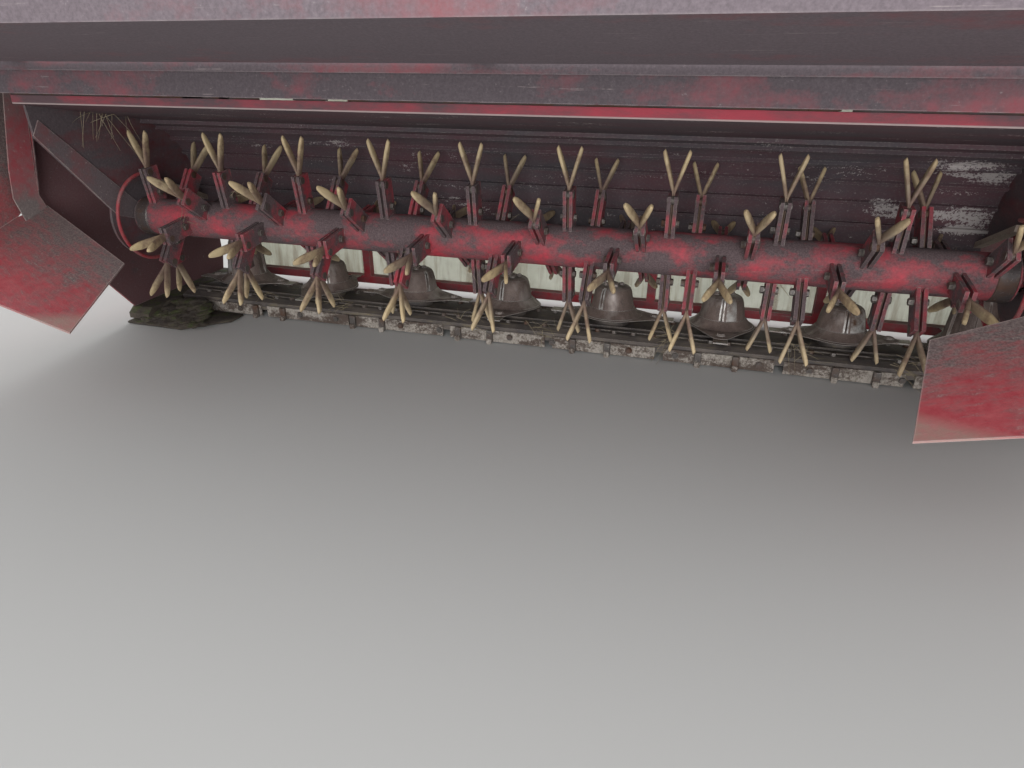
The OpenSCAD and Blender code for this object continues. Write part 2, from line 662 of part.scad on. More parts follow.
main_beam();
top_cover();
rear_beam();
conditioner_plate();
inner_wall_left();
inner_wall_right();
outer_wall_left();
outer_wall_right();
rotor_bearings();
cutterbar();
bar_skids();
end_skids();
wear_strips();
gearbox();
input_shaft();
cross_shaft();
side_gearbox();
drive_column();
belt_guard();
coupling_brackets();
hood_hinges();
guard_hinges();
shield_brackets();
rotor();
tines();
for (i = [1:disc_count]) disc(i);
for (i = [1:disc_count]) knives(i);
rear_hood();
guard_frame();
front_curtain();
shield_left();
shield_right();
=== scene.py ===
import json
import math
from functools import partialmethod

import bpy
import numpy as np
from mathutils import Euler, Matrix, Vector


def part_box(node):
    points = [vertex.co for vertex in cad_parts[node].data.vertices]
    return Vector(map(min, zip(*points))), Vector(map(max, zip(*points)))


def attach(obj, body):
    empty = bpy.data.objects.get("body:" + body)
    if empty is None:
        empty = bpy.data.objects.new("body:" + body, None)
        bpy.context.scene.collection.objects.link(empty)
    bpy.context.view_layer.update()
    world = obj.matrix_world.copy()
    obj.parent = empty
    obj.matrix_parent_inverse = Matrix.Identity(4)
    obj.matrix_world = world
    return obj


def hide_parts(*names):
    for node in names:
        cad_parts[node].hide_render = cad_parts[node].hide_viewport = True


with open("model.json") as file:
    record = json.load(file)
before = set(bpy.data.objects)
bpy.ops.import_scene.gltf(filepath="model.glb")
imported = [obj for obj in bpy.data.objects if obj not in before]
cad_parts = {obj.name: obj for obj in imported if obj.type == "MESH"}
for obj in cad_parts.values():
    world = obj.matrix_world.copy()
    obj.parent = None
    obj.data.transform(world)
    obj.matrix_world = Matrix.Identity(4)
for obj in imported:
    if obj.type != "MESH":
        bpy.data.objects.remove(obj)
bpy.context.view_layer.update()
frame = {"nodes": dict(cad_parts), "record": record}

scene = bpy.context.scene
nodes = frame["nodes"]
joint_of = {joint["name"]: joint for joint in frame["record"]["behaviour"]["joints"]}
SIDES = {-1.0: "left", 1.0: "right"}

# Camera: held at waist height behind the machine, looking forward under the raised rear hood and a
# little to the left.
EYE = (0.5206, -1.8697, 0.991)
LOOK_DOWN, LOOK_LEFT = 25.97, 16.18
LENS = 24.06
camera_data = bpy.data.cameras.new("camera")
camera_data.sensor_width = 36.0
camera_data.lens = LENS
camera = bpy.data.objects.new("camera", camera_data)
camera.location = EYE
camera.rotation_euler = Euler((math.radians(90.0 - LOOK_DOWN), 0.0, math.radians(LOOK_LEFT)))
scene.collection.objects.link(camera)
scene.camera = camera

# Rotor: a steel tube with pairs of bracket plates welded on, painted red. Crop juice and dust have
# dried on it to a dark crust; where the crop rubs, bright red shows, and bare metal at the edges.
CRUST = (0.085, 0.058, 0.062)
BRIGHT_RED = (0.52, 0.045, 0.070)
BARE_METAL = (0.30, 0.27, 0.25)


class Finish:
    """A material's node tree, built up by short calls that each return an output socket."""

    def __init__(self, name):
        self.material = bpy.data.materials.new(name)
        self.material.use_nodes = True
        self.tree = self.material.node_tree
        self.shader = self.tree.nodes["Principled BSDF"]
        self.place = self.node("TexCoord").outputs["Object"]

    def wire(self, value, socket):
        """Links a socket or writes a number or colour into another node's input."""
        if isinstance(value, bpy.types.NodeSocket):
            self.tree.links.new(value, socket)
        elif isinstance(value, tuple) and len(value) == 3 and socket.type == "RGBA":
            socket.default_value = (*value, 1.0)
        else:
            socket.default_value = value

    def node(self, kind, inputs=None, **settings):
        """A node of that kind with its plain settings, and its inputs linked or written."""
        made = self.tree.nodes.new("ShaderNode" + kind)
        for key, value in settings.items():
            setattr(made, key, value)
        for key, value in (inputs or {}).items():
            self.wire(value, made.inputs[key])
        return made

    def maths(self, how, first, second):
        """First and second joined by that operation."""
        return self.node("Math", {0: first, 1: second}, operation=how).outputs[0]

    plus = partialmethod(maths, "ADD")
    times = partialmethod(maths, "MULTIPLY")
    most = partialmethod(maths, "MAXIMUM")

    def ramp(self, value, low, high, out_low=0.0, out_high=1.0):
        """Value mapped from low..high to out_low..out_high, and held at both ends."""
        return self.node("MapRange", {"Value": value, "From Min": low, "From Max": high,
                                      "To Min": out_low, "To Max": out_high}).outputs["Result"]

    def mix(self, share, first, second):
        """Colour between first and second."""
        given = {"Factor": share, "A": first, "B": second}
        return self.node("Mix", given, data_type="RGBA").outputs["Result"]

    def fade(self, value, low, high, first, second):
        """Colour that goes from first to second while the value goes from low to high."""
        return self.mix(self.ramp(value, low, high), first, second)

    def stretched(self, scale, turn=(0.0, 0.0, 0.0), place=None):
        """Object coordinates turned and scaled differently along each axis."""
        given = {"Vector": place or self.place, "Scale": scale, "Rotation": turn}
        return self.node("Mapping", given).outputs["Vector"]

    def noise(self, scale, detail=6.0, rough=0.6, stretch=None, place=None):
        """Cloudy value from 0 to 1, with its coordinates stretched first if need be."""
        where = self.stretched(stretch) if stretch else place or self.place
        given = {"Vector": where, "Scale": scale, "Detail": detail, "Roughness": rough}
        return self.node("TexNoise", given).outputs["Fac"]

    def dot(self, first, second):
        """Sum of the products of two vectors' coordinates."""
        return self.node("VectorMath", {0: first, 1: second}, operation="DOT_PRODUCT").outputs["Value"]

    def distance(self, middle, scale):
        """How far the place lies from the middle, with its way scaled along each axis."""
        away = self.node("VectorMath", {0: self.place, 1: middle}, operation="SUBTRACT").outputs[0]
        scaled = self.node("VectorMath", {0: away, 1: scale}, operation="MULTIPLY").outputs[0]
        return self.node("VectorMath", {0: scaled}, operation="LENGTH").outputs["Value"]

    def edges(self, radius):
        """1 on convex and concave edges within the radius, 0 on flat faces."""
        rounded = self.node("Bevel", {"Radius": radius}, samples=4).outputs["Normal"]
        return self.ramp(self.dot(rounded, self.node("NewGeometry").outputs["True Normal"]), 0.995, 0.90)

    def normal(self, letter):
        """One coordinate of the face's own direction."""
        return self.node("SeparateXYZ", {0: self.node("NewGeometry").outputs["True Normal"]}).outputs[letter]

    def upward(self):
        """1 on faces that look up, 0 on upright ones and below."""
        return self.ramp(self.normal("Z"), 0.2, 0.9)

    def axis(self, letter):
        """One of the object coordinates in metres."""
        return self.node("SeparateXYZ", {0: self.place}).outputs[letter]

    def done(self, colour, rough, metal=0.0, bump=None, depth=0.002):
        """Links colour, roughness, metal share and relief to the shader and returns the material."""
        for key, value in (("Base Color", colour), ("Roughness", rough), ("Metallic", metal)):
            self.wire(value, self.shader.inputs[key])
        if bump is not None:
            relief = self.node("Bump", {"Strength": 1.0, "Distance": depth, "Height": bump})
            self.wire(relief.outputs["Normal"], self.shader.inputs["Normal"])
        return self.material


def clad(node_names, material):
    """Gives CAD nodes a material, in all their slots."""
    for name in node_names:
        mesh = nodes[name].data
        mesh.materials.clear()
        mesh.materials.append(material)


def rotor_paint():
    """Cloudy crust over red, with bare metal on the edges of the bracket plates."""
    paint = Finish("crusted red paint")
    patches = paint.noise(7.0, 8.0, 0.62, (1.0, 1.6, 1.6))
    grain = paint.noise(85.0, 4.0, 0.7)
    split = paint.plus(patches, paint.ramp(grain, 0.3, 0.7, -0.03, 0.03))
    rubbed = paint.ramp(split, 0.46, 0.69)
    red = paint.fade(grain, 0.35, 0.65, (0.40, 0.034, 0.055), BRIGHT_RED)
    crust = paint.fade(paint.noise(240.0, 2.0), 0.34, 0.74, CRUST, (0.160, 0.118, 0.124))
    worn = paint.times(paint.edges(0.003), paint.ramp(grain, 0.4, 0.6))
    colour = paint.mix(worn, paint.mix(rubbed, crust, red), BARE_METAL)
    relief = paint.plus(paint.times(grain, 0.7), paint.times(split, -0.6))
    return paint.done(colour, paint.ramp(rubbed, 0.0, 1.0, 0.9, 0.55), bump=relief, depth=0.003)


clad(["rotor"], rotor_paint())

# Bolts of the tine brackets: one through each pair of plates close to the tube, with its head on
# one side and its nut on the other. Plain steel, as dirty as the plates round them.
AXIS = np.array(joint_of["rotor_spin"]["pos_m"])
STATIONS = 36
STATION_PITCH = 0.075
FIRST_ANGLE = 7.26
PLATE_OUTSIDE = 0.0143


def skin(rings):
    """Closed surface over rings of equal count: quads from each ring to the next, and a face on
    both end rings. Ring points run anticlockwise about the way from the first ring to the last."""
    rows, sides = rings.shape[:2]
    index = np.arange(rows * sides).reshape(rows, sides)
    beside = np.roll(index, -1, axis=1)
    quads = np.stack([index[:-1], beside[:-1], beside[1:], index[1:]], axis=-1).reshape(-1, 4)
    return rings.reshape(-1, 3), [quads, index[:1, ::-1], index[-1:]]


def surface(x, y, z):
    """Skin over rings whose coordinates are given apart. Each has a row for every ring and a
    column for every point of it, and one that is the same in all of them is given once."""
    return skin(np.stack(np.broadcast_arrays(x, y, z), axis=-1))


def spots(x, y, z):
    """Points from their coordinates, of which each is a row or one number for all."""
    return np.column_stack(np.broadcast_arrays(x, y, z))


def joined(*shapes):
    """Several shapes as one: the points in a row, the faces counted on."""
    starts = np.cumsum([0] + [len(points) for points, faces in shapes[:-1]])
    faces = [part + start for (points, held), start in zip(shapes, starts) for part in held]
    return np.concatenate([points for points, held in shapes]), faces


def many(shape, turns, places):
    """A copy of the shape for each turn matrix and place: point times turn plus place."""
    points, faces = shape
    places = np.atleast_2d(places)
    turns = np.broadcast_to(turns, (len(places), 3, 3))
    moved = np.einsum("nij,pj->npi", turns, points) + places[:, None, :]
    steps = np.arange(len(places))[:, None, None] * len(points)
    return moved.reshape(-1, 3), [(part[None] + steps).reshape(-1, part.shape[1]) for part in faces]


def turn_x(degrees):
    """Matrices of turns about X."""
    angle = np.radians(np.atleast_1d(np.asarray(degrees, dtype=float)))
    turns = np.zeros((len(angle), 3, 3))
    turns[:, 0, 0] = 1.0
    turns[:, 1, 1] = turns[:, 2, 2] = np.cos(angle)
    turns[:, 2, 1] = np.sin(angle)
    turns[:, 1, 2] = -turns[:, 2, 1]
    return turns


def facing(direction):
    """Matrix that turns +Z to the direction given."""
    up = np.array(direction, dtype=float)
    up /= np.linalg.norm(up)
    side = np.cross((0.0, 0.0, 1.0) if abs(up[2]) < 0.9 else (0.0, 1.0, 0.0), up)
    side /= np.linalg.norm(side)
    return np.stack([side, np.cross(up, side), up], axis=1)


def circle(radius, sides, start=0.0):
    """Points round a circle in the XY plane."""
    angle = start + np.linspace(0.0, 2.0 * math.pi, sides, endpoint=False)
    return np.stack([radius * np.cos(angle), radius * np.sin(angle)], axis=1)


def stack(outlines, heights):
    """Outlines in XY as rings at those heights."""
    return np.stack([spots(line[:, 0], line[:, 1], z) for line, z in zip(outlines, heights)])


def turned(radii, heights, sides=24):
    """Piece turned about Z: circles of those radii at those heights."""
    return skin(stack([circle(radius, sides) for radius in radii], heights))


def bolts(across, height, places, way=(0, 0, 1)):
    """Bolt heads on their places, facing that way: each a washer with a hexagon on it whose
    upper edge is cut off."""
    washer = turned([across * 0.66] * 2, [0.0, height * 0.18], 16)
    corner = across / math.sqrt(3.0)
    head = turned([corner, corner, corner * 0.9], [height * 0.18, height * 0.85, height], 6)
    return many(joined(washer, head), facing(way), places)


def piece(name, shape, material, body, smooth=35.0):
    """Mesh object of that shape, smooth below the angle, on its body and with its slot."""
    points, faces = shape
    mesh = bpy.data.meshes.new(name)
    mesh.from_pydata(points.tolist(), [], [face for part in faces for face in part.tolist()])
    mesh.polygons.foreach_set("use_smooth", np.ones(len(mesh.polygons), dtype=bool))
    mesh.set_sharp_from_angle(angle=math.radians(smooth))
    mesh.materials.append(material)
    mesh.update()
    made = bpy.data.objects.new(name, mesh)
    scene.collection.objects.link(made)
    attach(made, body)
    return made


def dirty_steel(name, base=(0.10, 0.088, 0.082), bare=(0.36, 0.33, 0.30), shine=0.55):
    """Dark stained steel, bare and brighter where a fine grain and the edges let it through."""
    steel = Finish(name)
    cloud = steel.noise(14.0, 8.0, 0.65)
    grain = steel.noise(160.0, 3.0)
    rust = steel.fade(cloud, 0.45, 0.65, base, (0.115, 0.060, 0.038))
    worn = steel.most(steel.edges(0.002), steel.ramp(grain, 0.60, 0.72))
    colour = steel.mix(steel.times(worn, steel.ramp(cloud, 0.62, 0.42)), rust, bare)
    return steel.done(colour, steel.ramp(cloud, 0.35, 0.7, shine - 0.15, shine + 0.25),
                      metal=steel.ramp(worn, 0.0, 1.0, 0.25, 0.9), bump=grain, depth=0.0006)


bolt_steel = dirty_steel("dirty bolt steel")
station = np.repeat(np.arange(STATIONS), 2)
angle_of = FIRST_ANGLE - 45.0 * station + np.tile([0.0, 180.0], STATIONS)
half_row = STATION_PITCH * (STATIONS - 1) / 2
on_axis = spots(AXIS[0] - half_row + STATION_PITCH * station, AXIS[1], AXIS[2])
bolt_head = bolts(0.019, 0.009, [PLATE_OUTSIDE, 0.004, 0.090], (1, 0, 0))
nut = bolts(0.019, 0.013, [-PLATE_OUTSIDE, 0.004, 0.090], (-1, 0, 0))
collar = many(turned([0.012] * 2, [-PLATE_OUTSIDE - 0.002, PLATE_OUTSIDE + 0.002], 12),
              facing((1, 0, 0)), [0.0, -0.012, 0.163])
piece("tine_bolts", many(joined(bolt_head, nut, collar), turn_x(angle_of), on_axis),
      bolt_steel, "rotor")

# Forked tines of the rotor: moulded nylon, beige and stained brown. The stem sits between the
# bracket plates and parts into two prongs, which the crop has worn to thin leaf-shaped tips.
TINE_REACH = 0.298
PRONG_SPREAD = 0.036
STEM_MIDDLE = 0.0022
FORK_AT = 0.186


def prong(side):
    """Prong from the tube to its tip. Along the radius its middle stays by the stem and then
    leans straight outwards, its width grows from the stem's half to the prong's own, and its
    depth swells and closes to the tip. Each ring is a rounded rectangle: cosine and sine with
    their size raised to a power below one."""
    radius = np.array([[0.064], [0.120], [0.176], [0.186], [0.196], [0.208], [0.225], [0.245],
                       [0.262], [0.278], [0.288], [0.294], [TINE_REACH - 0.0006]])
    out = np.clip((radius - FORK_AT) / (TINE_REACH - FORK_AT), 0.0, 1.0)
    middle = side * (STEM_MIDDLE + (PRONG_SPREAD - STEM_MIDDLE) * out ** 1.06)
    half_width = np.interp(radius, [0.176, 0.190, 0.215, 0.280, 0.292, 0.298],
                           [0.0021, 0.0052, 0.0054, 0.0050, 0.0044, 0.0028])
    half_depth = np.interp(radius, [0.064, 0.190, 0.235, 0.262, 0.284, 0.294, 0.298],
                           [0.0125, 0.0120, 0.0140, 0.0135, 0.0100, 0.0062, 0.0026])
    around = np.linspace(0.0, 2.0 * math.pi, 12, endpoint=False) + 0.26
    across = np.sign(np.cos(around)) * np.abs(np.cos(around)) ** 0.62
    along = np.sign(np.sin(around)) * np.abs(np.sin(around)) ** 0.62
    return surface(middle + half_width * across, half_depth * along, radius - 0.004 * side * across * out)


def nylon():
    """Beige, browner in cloudy stains and towards the root, paler where the tip is rubbed."""
    plastic = Finish("stained nylon")
    stain = plastic.noise(20.0, 8.0, 0.65)
    grain = plastic.noise(150.0, 3.0)
    run = plastic.noise(60.0, stretch=(1.0, 0.25, 0.25))
    reach = plastic.distance(tuple(AXIS), (0.0, 1.0, 1.0))
    uneven = plastic.plus(reach, plastic.ramp(stain, 0.3, 0.7, 0.022, -0.022))
    root = plastic.ramp(uneven, 0.266, 0.190)
    beige = plastic.fade(run, 0.4, 0.65, (0.60, 0.48, 0.29), (0.46, 0.35, 0.20))
    beige = plastic.fade(plastic.noise(3.1, 2.0), 0.42, 0.62, beige, (0.35, 0.285, 0.205))
    stained = plastic.fade(stain, 0.48, 0.66, beige, (0.24, 0.155, 0.105))
    colour = plastic.mix(plastic.times(root, 0.85), stained, (0.18, 0.115, 0.095))
    colour = plastic.mix(plastic.ramp(uneven, 0.245, 0.295, 0.0, 0.5), colour, (0.72, 0.56, 0.32))
    return plastic.done(colour, plastic.ramp(stain, 0.3, 0.7, 0.5, 0.8), bump=grain, depth=0.0012)


tines = piece("forked_tines", many(joined(prong(-1.0), prong(1.0)), turn_x(angle_of), on_axis),
              nylon(), "rotor", smooth=50.0)
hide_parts("tines")

# Cutterbar: a flat forged gear housing under the discs, tipped forwards, with a round boss for
# each. Dark steel under dried grass, held together by two rows of bolts in its upper face.
DISC_JOINTS = [joint_of[f"disc_spin_{i}"] for i in range(1, 9)]
DISC_PLACES = np.array([joint["pos_m"] for joint in DISC_JOINTS])
TILT = math.degrees(math.atan2(DISC_JOINTS[0]["axis"][1], DISC_JOINTS[0]["axis"][2]))
BAR_TURN = turn_x(-TILT)[0]
BAR_HALF_HEIGHT = 0.022
REAR_BOLTS, FRONT_BOLTS = -0.138, 0.048
GRASS = (0.23, 0.19, 0.115)
MUD = (0.165, 0.138, 0.120)


def bar_finish():
    """Dark steel under mud, with pale dry grass lying along the bar in streaks."""
    steel = Finish("grassy dark steel")
    streaks = steel.noise(9.0, 9.0, 0.7, (1.0, 9.0, 9.0))
    cloud = steel.noise(11.0, 8.0, 0.66)
    grain = steel.noise(190.0, 3.0)
    mud = steel.fade(cloud, 0.40, 0.64, (0.075, 0.064, 0.062), MUD)
    grassy = steel.fade(streaks, 0.55, 0.68, mud, GRASS)
    worn = steel.times(steel.edges(0.003), steel.ramp(grain, 0.45, 0.6))
    relief = steel.plus(streaks, steel.times(grain, 0.4))
    return steel.done(steel.mix(worn, grassy, (0.33, 0.30, 0.27)), steel.ramp(cloud, 0.3, 0.7, 0.5, 0.9),
                      bump=relief, depth=0.004)


bar_steel = bar_finish()
clad(["cutterbar"], bar_steel)
along = np.array([-0.17, -0.10, -0.03, 0.03, 0.10, 0.17])
bar_rows = np.concatenate([spots(along, REAR_BOLTS, BAR_HALF_HEIGHT),
                           spots(along[[0, 1, 4, 5]], FRONT_BOLTS, BAR_HALF_HEIGHT)])
bolts_at = np.concatenate([bar_rows @ BAR_TURN.T + middle for middle in DISC_PLACES])
piece("cutterbar_bolts", bolts(0.017, 0.010, bolts_at, BAR_TURN[:, 2]), bolt_steel, "root")

# Ledges along the housing: two narrow steel rails behind the discs, welded on where the housing's
# halves meet, as dirty as the housing and rubbed bright along their edges.
RAILS = ((-0.112, 0.024, 0.005), (-0.082, 0.008, 0.009))
RAIL_END = 1.595


def octagon(x_from, x_to, y_from, y_to, cut):
    """Rectangle in XY with its corners cut off."""
    return np.array([[x_from + cut, y_from], [x_to - cut, y_from], [x_to, y_from + cut], [x_to, y_to - cut],
                     [x_to - cut, y_to], [x_from + cut, y_to], [x_from, y_to - cut], [x_from, y_from + cut]])


def flat_bar(ends, y_from, y_to, z_from, z_to, cut):
    """Flat bar along X: a rectangle with its corners cut off, carried from end to end."""
    section = octagon(y_from, y_to, z_from, z_to, cut)
    return surface(ends[:, None], section[:, 0], section[:, 1])


def placed(shape, turn, place):
    """The shape turned by the matrix and moved to the place."""
    return shape[0] @ turn.T + place, shape[1]


rails = []
for y, width, height in RAILS:
    foot = BAR_HALF_HEIGHT - 0.0005
    rails.append(flat_bar(np.linspace(-RAIL_END, RAIL_END, 9), y - width / 2, y + width / 2,
                          foot, foot + height, 0.0015))
piece("cutterbar_ledges", placed(joined(*rails), BAR_TURN, DISC_PLACES.mean(axis=0)),
      bar_steel, "root")

# Wear strips: flat bars bolted along the rear edge of the housing, with pairs of hanging blocks
# that hold the shoes under it. Strips and shoes are hard steel, scraped pale by stones.
PAIR_FIRST, PAIR_PITCH, PAIRS = -1.172, 0.442, 7
BLOCK_OUT, BOLT_OUT, BOLT_HEIGHT = 0.063, 0.140, 0.030


def scraped_steel():
    """Pale scraped steel in long patches between dark mud, pitted all over."""
    steel = Finish("scraped strip steel")
    patches = steel.noise(6.0, 10.0, 0.72, (1.0, 1.0, 3.0))
    pits = steel.noise(130.0, 5.0, 0.8)
    both = steel.plus(patches, steel.ramp(pits, 0.35, 0.65, -0.09, 0.09))
    pale = steel.fade(pits, 0.4, 0.6, (0.30, 0.265, 0.225), (0.52, 0.47, 0.42))
    colour = steel.fade(both, 0.44, 0.56, (0.115, 0.085, 0.070), pale)
    relief = steel.plus(both, steel.times(pits, 0.6))
    return steel.done(colour, steel.ramp(both, 0.4, 0.6, 0.9, 0.6), bump=relief, depth=0.005)


def drawn_in(outline, share):
    """The outline drawn in towards its middle."""
    middle = outline.mean(axis=0)
    return middle + (outline - middle) * share


def block(half_x, depth, low, high):
    """Upright block with its upright edges cut off, its rear face on y = -depth."""
    cut = 0.003
    outline = np.array([[half_x - cut, -depth], [half_x, -depth + cut], [half_x, 0.0],
                        [-half_x, 0.0], [-half_x, -depth + cut], [-half_x + cut, -depth]])
    inner = drawn_in(outline, 0.86)
    return skin(stack([inner, outline, outline, inner], [low, low + cut, high - cut, high]))


def on_strip(out, height):
    """Points at both sides of each pair's middle, on the rear face of the strips. The last pair
    has only its left point."""
    middles = PAIR_FIRST + PAIR_PITCH * np.arange(PAIRS)
    return spots((middles[:, None] + [-out, out]).ravel()[:-1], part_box("wear_strips")[0][1], height)


strip_steel = scraped_steel()
clad(["wear_strips", "bar_skids"], strip_steel)
block_places = on_strip(BLOCK_OUT, 0.0)
piece("hanging_blocks", many(block(0.012, 0.014, 0.004, 0.052), np.eye(3), block_places),
      dirty_steel("dark block steel"), "root")
piece("strip_bolts", bolts(0.019, 0.009, on_strip(BOLT_OUT, BOLT_HEIGHT), (0, -1, 0)),
      bolt_steel, "root")
piece("block_pins", many(block(0.010, 0.022, 0.001, 0.021), np.eye(3), block_places),
      strip_steel, "root")

# Cutting discs: forged plates with two tips and a bevelled edge, polished dark by the crop. On each
# stands a hat of two curved shells that leave a slot open, on the outer two a tall fluted drum.
DISC_LOW, DISC_TOP = 0.054, 0.060
HUB_RADIUS, TIP_RADIUS, TIP_AT = 0.118, 0.034, 0.160
HAT_FOOT, SHELL_FOOT, HAT_NECK, SKIRT_HEIGHT = 0.113, 0.080, 0.064, 0.026
HAT_HEIGHT, DRUM_HEIGHT = 0.107, 0.184
HAT_SLOT, DRUM_SLOT = (0.012, 0.09), (0.006, 0.42)


def disc_outline():
    """Round the hub circle, then along the tangents to the tip circles and round them."""
    lean = math.acos((HUB_RADIUS - TIP_RADIUS) / TIP_AT)
    tip = np.linspace(-lean, lean, 11)
    hub = np.linspace(lean, math.pi - lean, 28)
    right = np.column_stack([TIP_AT + TIP_RADIUS * np.cos(tip), TIP_RADIUS * np.sin(tip)])
    upper = np.column_stack([HUB_RADIUS * np.cos(hub), HUB_RADIUS * np.sin(hub)])
    half = np.concatenate([right, upper])
    return np.concatenate([half, -half])


def disc_plate():
    """Plate between its lower and upper face, with its edge thinned by a bevel: six outlines,
    drawn in from the full one, at six heights."""
    outline = disc_outline()
    reach = np.linalg.norm(outline, axis=1, keepdims=True)
    inner = outline * (0.093 / reach)
    rim = outline * (1.0 - 0.003 / reach)
    bevel = outline * (1.0 - 0.014 / reach)
    levels = [DISC_LOW, DISC_LOW, DISC_LOW + 0.0012, DISC_LOW + 0.0024, DISC_TOP - 0.0002, DISC_TOP]
    return skin(stack([inner, rim, outline * 0.999, outline * 0.999, bevel, inner], levels))


def hat_radius(share, height):
    """Outline of a hat over its height: a skirt that rises in a hollow curve from the plate, the
    shell that narrows upwards from it, and a rounded shoulder."""
    skirt = SKIRT_HEIGHT / height
    rise = np.clip(share / skirt, 0.0, 1.0)
    shell = np.clip((share - skirt) / (1.0 - skirt), 0.0, 1.0)
    radius = np.where(share < skirt, HAT_FOOT - (HAT_FOOT - SHELL_FOOT - 0.004) * rise ** 0.7,
                      SHELL_FOOT - (SHELL_FOOT - HAT_NECK) * shell ** 1.2)
    return radius - np.interp(shell, [0.78, 0.92, 0.98, 1.0], [0.0, 0.004, 0.013, 0.022])


def hat(height, slots, slot_depth, slot_width):
    """Hat turned about the disc axis after its outline. In each slot the radius steps back by
    the slot's depth, through a smooth gate in the angle."""
    around = np.linspace(0.0, 2.0 * math.pi, 96, endpoint=False)
    skirt = SKIRT_HEIGHT / height
    below = skirt * np.array([[0.0], [0.2], [0.5], [0.8], [0.999], [1.001]])
    above = np.array([[0.1], [0.3], [0.5], [0.7], [0.82], [0.90], [0.95], [0.98], [1.0]])
    share = np.concatenate([below, skirt + (1.0 - skirt) * above])
    turn = np.abs((around[:, None] - slots + math.pi) % (2.0 * math.pi) - math.pi).min(axis=1)
    gate = np.clip((slot_width / 2 + 0.03 - turn) / 0.03, 0.0, 1.0)
    gate = gate * np.interp(share, [skirt, skirt + 0.03, 0.90, 0.95], [0.0, 1.0, 1.0, 0.0])
    size = hat_radius(share, height) - slot_depth * gate
    return surface(size * np.cos(around), size * np.sin(around), DISC_TOP - 0.0005 + share * height)


def shell_strip(height, middle, half_turn, high, proud):
    """Strip that lies on a hat from above its skirt to a share of its height, between two
    angles: rings at the angles, each of the strip's outer face and its inner face back."""
    count = max(int(half_turn / 0.06), 1) + 2
    turn = np.linspace(middle - half_turn, middle + half_turn, count)[:, None]
    share = np.linspace(SKIRT_HEIGHT / height + 0.02, high, 9)
    outer = hat_radius(share, height) + proud
    radius = np.concatenate([outer - proud - 0.001, outer[::-1]])
    level = DISC_TOP + np.concatenate([share, share[::-1]]) * height
    return surface(radius * np.cos(turn), radius * np.sin(turn), level)


def polished_steel():
    """Crop-polished steel: dark brown film with smeared bright patches, glossy where it is bare."""
    steel = Finish("crop polished steel")
    film = steel.noise(8.0, 6.0, 0.55, (1.4, 1.4, 0.5))
    smear = steel.noise(26.0, stretch=(1.0, 1.0, 0.5))
    grain = steel.noise(260.0, 3.0)
    both = steel.plus(film, steel.ramp(smear, 0.3, 0.7, -0.07, 0.07))
    clean = steel.ramp(both, 0.54, 0.70)
    brown = steel.fade(smear, 0.35, 0.65, (0.110, 0.080, 0.070), (0.21, 0.155, 0.135))
    brown = steel.mix(steel.ramp(grain, 0.50, 0.70, 0.0, 0.5), brown, (0.27, 0.21, 0.18))
    mud = steel.fade(smear, 0.40, 0.60, (0.052, 0.044, 0.040), (0.14, 0.118, 0.100))
    colour = steel.fade(steel.axis("Z"), 0.088, 0.080, steel.mix(clean, brown, (0.33, 0.29, 0.27)), mud)
    colour = steel.mix(steel.edges(0.0025), colour, (0.48, 0.45, 0.42))
    return steel.done(colour, steel.ramp(clean, 0.0, 1.0, 0.62, 0.45),
                      metal=steel.ramp(clean, 0.0, 1.0, 0.10, 0.5), bump=smear, depth=0.0006)


hat_steel = polished_steel()
# The light-grey strips on the hats are painted light: those beside each slot stand for daylight seen through
# the slot, and the wider ones on hats 1, 6 and 7 are painted highlights on the shells.
painted_light_steel = dirty_steel("steel with painted light", (0.52, 0.51, 0.49), (0.72, 0.71, 0.69), 0.35)
SHELL_HIGHLIGHTS = {1: (-150.0, 42.0), 6: (-66.0, 14.0), 7: (-52.0, 24.0)}
SLOT_TURN = {2: -65.0, 3: -32.6, 4: -103.7, 5: -115.6, 6: -91.8, 7: -87.0}
FLUTES = np.radians(np.arange(0.0, 360.0, 60.0))
top_ring = circle(0.030, 4, start=0.4)
for number, place in enumerate(DISC_PLACES, start=1):
    tall = number in (1, 8)
    height = DRUM_HEIGHT if tall else HAT_HEIGHT
    roof = DISC_TOP + height
    quarter = 0.0 if number % 2 else 90.0
    disc_turn = BAR_TURN @ np.array(Euler((0.0, 0.0, math.radians(quarter))).to_matrix())
    slots = FLUTES if tall else np.radians(SLOT_TURN[number] - quarter + np.array([0.0, 180.0]))
    disc = joined(disc_plate(), hat(height, slots, *(DRUM_SLOT if tall else HAT_SLOT)),
                  bolts(0.024, 0.007, spots([TIP_AT, -TIP_AT], 0.0, DISC_TOP)),
                  bolts(0.014, 0.009, spots(top_ring[:, 0], top_ring[:, 1], roof - 0.001)),
                  turned([0.018, 0.018, 0.014], [roof - 0.001, roof + 0.007, roof + 0.010]),
                  turned([0.0218] * 2, [-0.006, DISC_LOW + 0.001]))
    made = piece(f"cutting_disc_{number}_plate", placed(disc, disc_turn, place), hat_steel,
                 f"cutting_disc_{number}")
    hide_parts(f"disc_{number}")
    # Painted light: light-grey strips beside the slots stand for the daylight through them, and some shells
    # get painted highlights.
    edges = [] if tall else [shell_strip(height, slot + way * 0.075, 0.030, 0.93, 0.0008)
                             for slot in slots for way in (-1.0, 1.0)]
    if number in SHELL_HIGHLIGHTS:
        middle, half_turn = np.radians(np.array(SHELL_HIGHLIGHTS[number]) - [quarter, 0.0])
        edges.append(shell_strip(height, middle, half_turn, 0.95, 0.0010))
    if edges:
        piece(f"hat_painted_light_{number}", placed(joined(*edges), disc_turn, place),
              painted_light_steel, f"cutting_disc_{number}")

# Knives: thin hardened blades, two under each disc, which hang on the bolts of its tips and swing
# freely. Dull grey steel with brown rust.


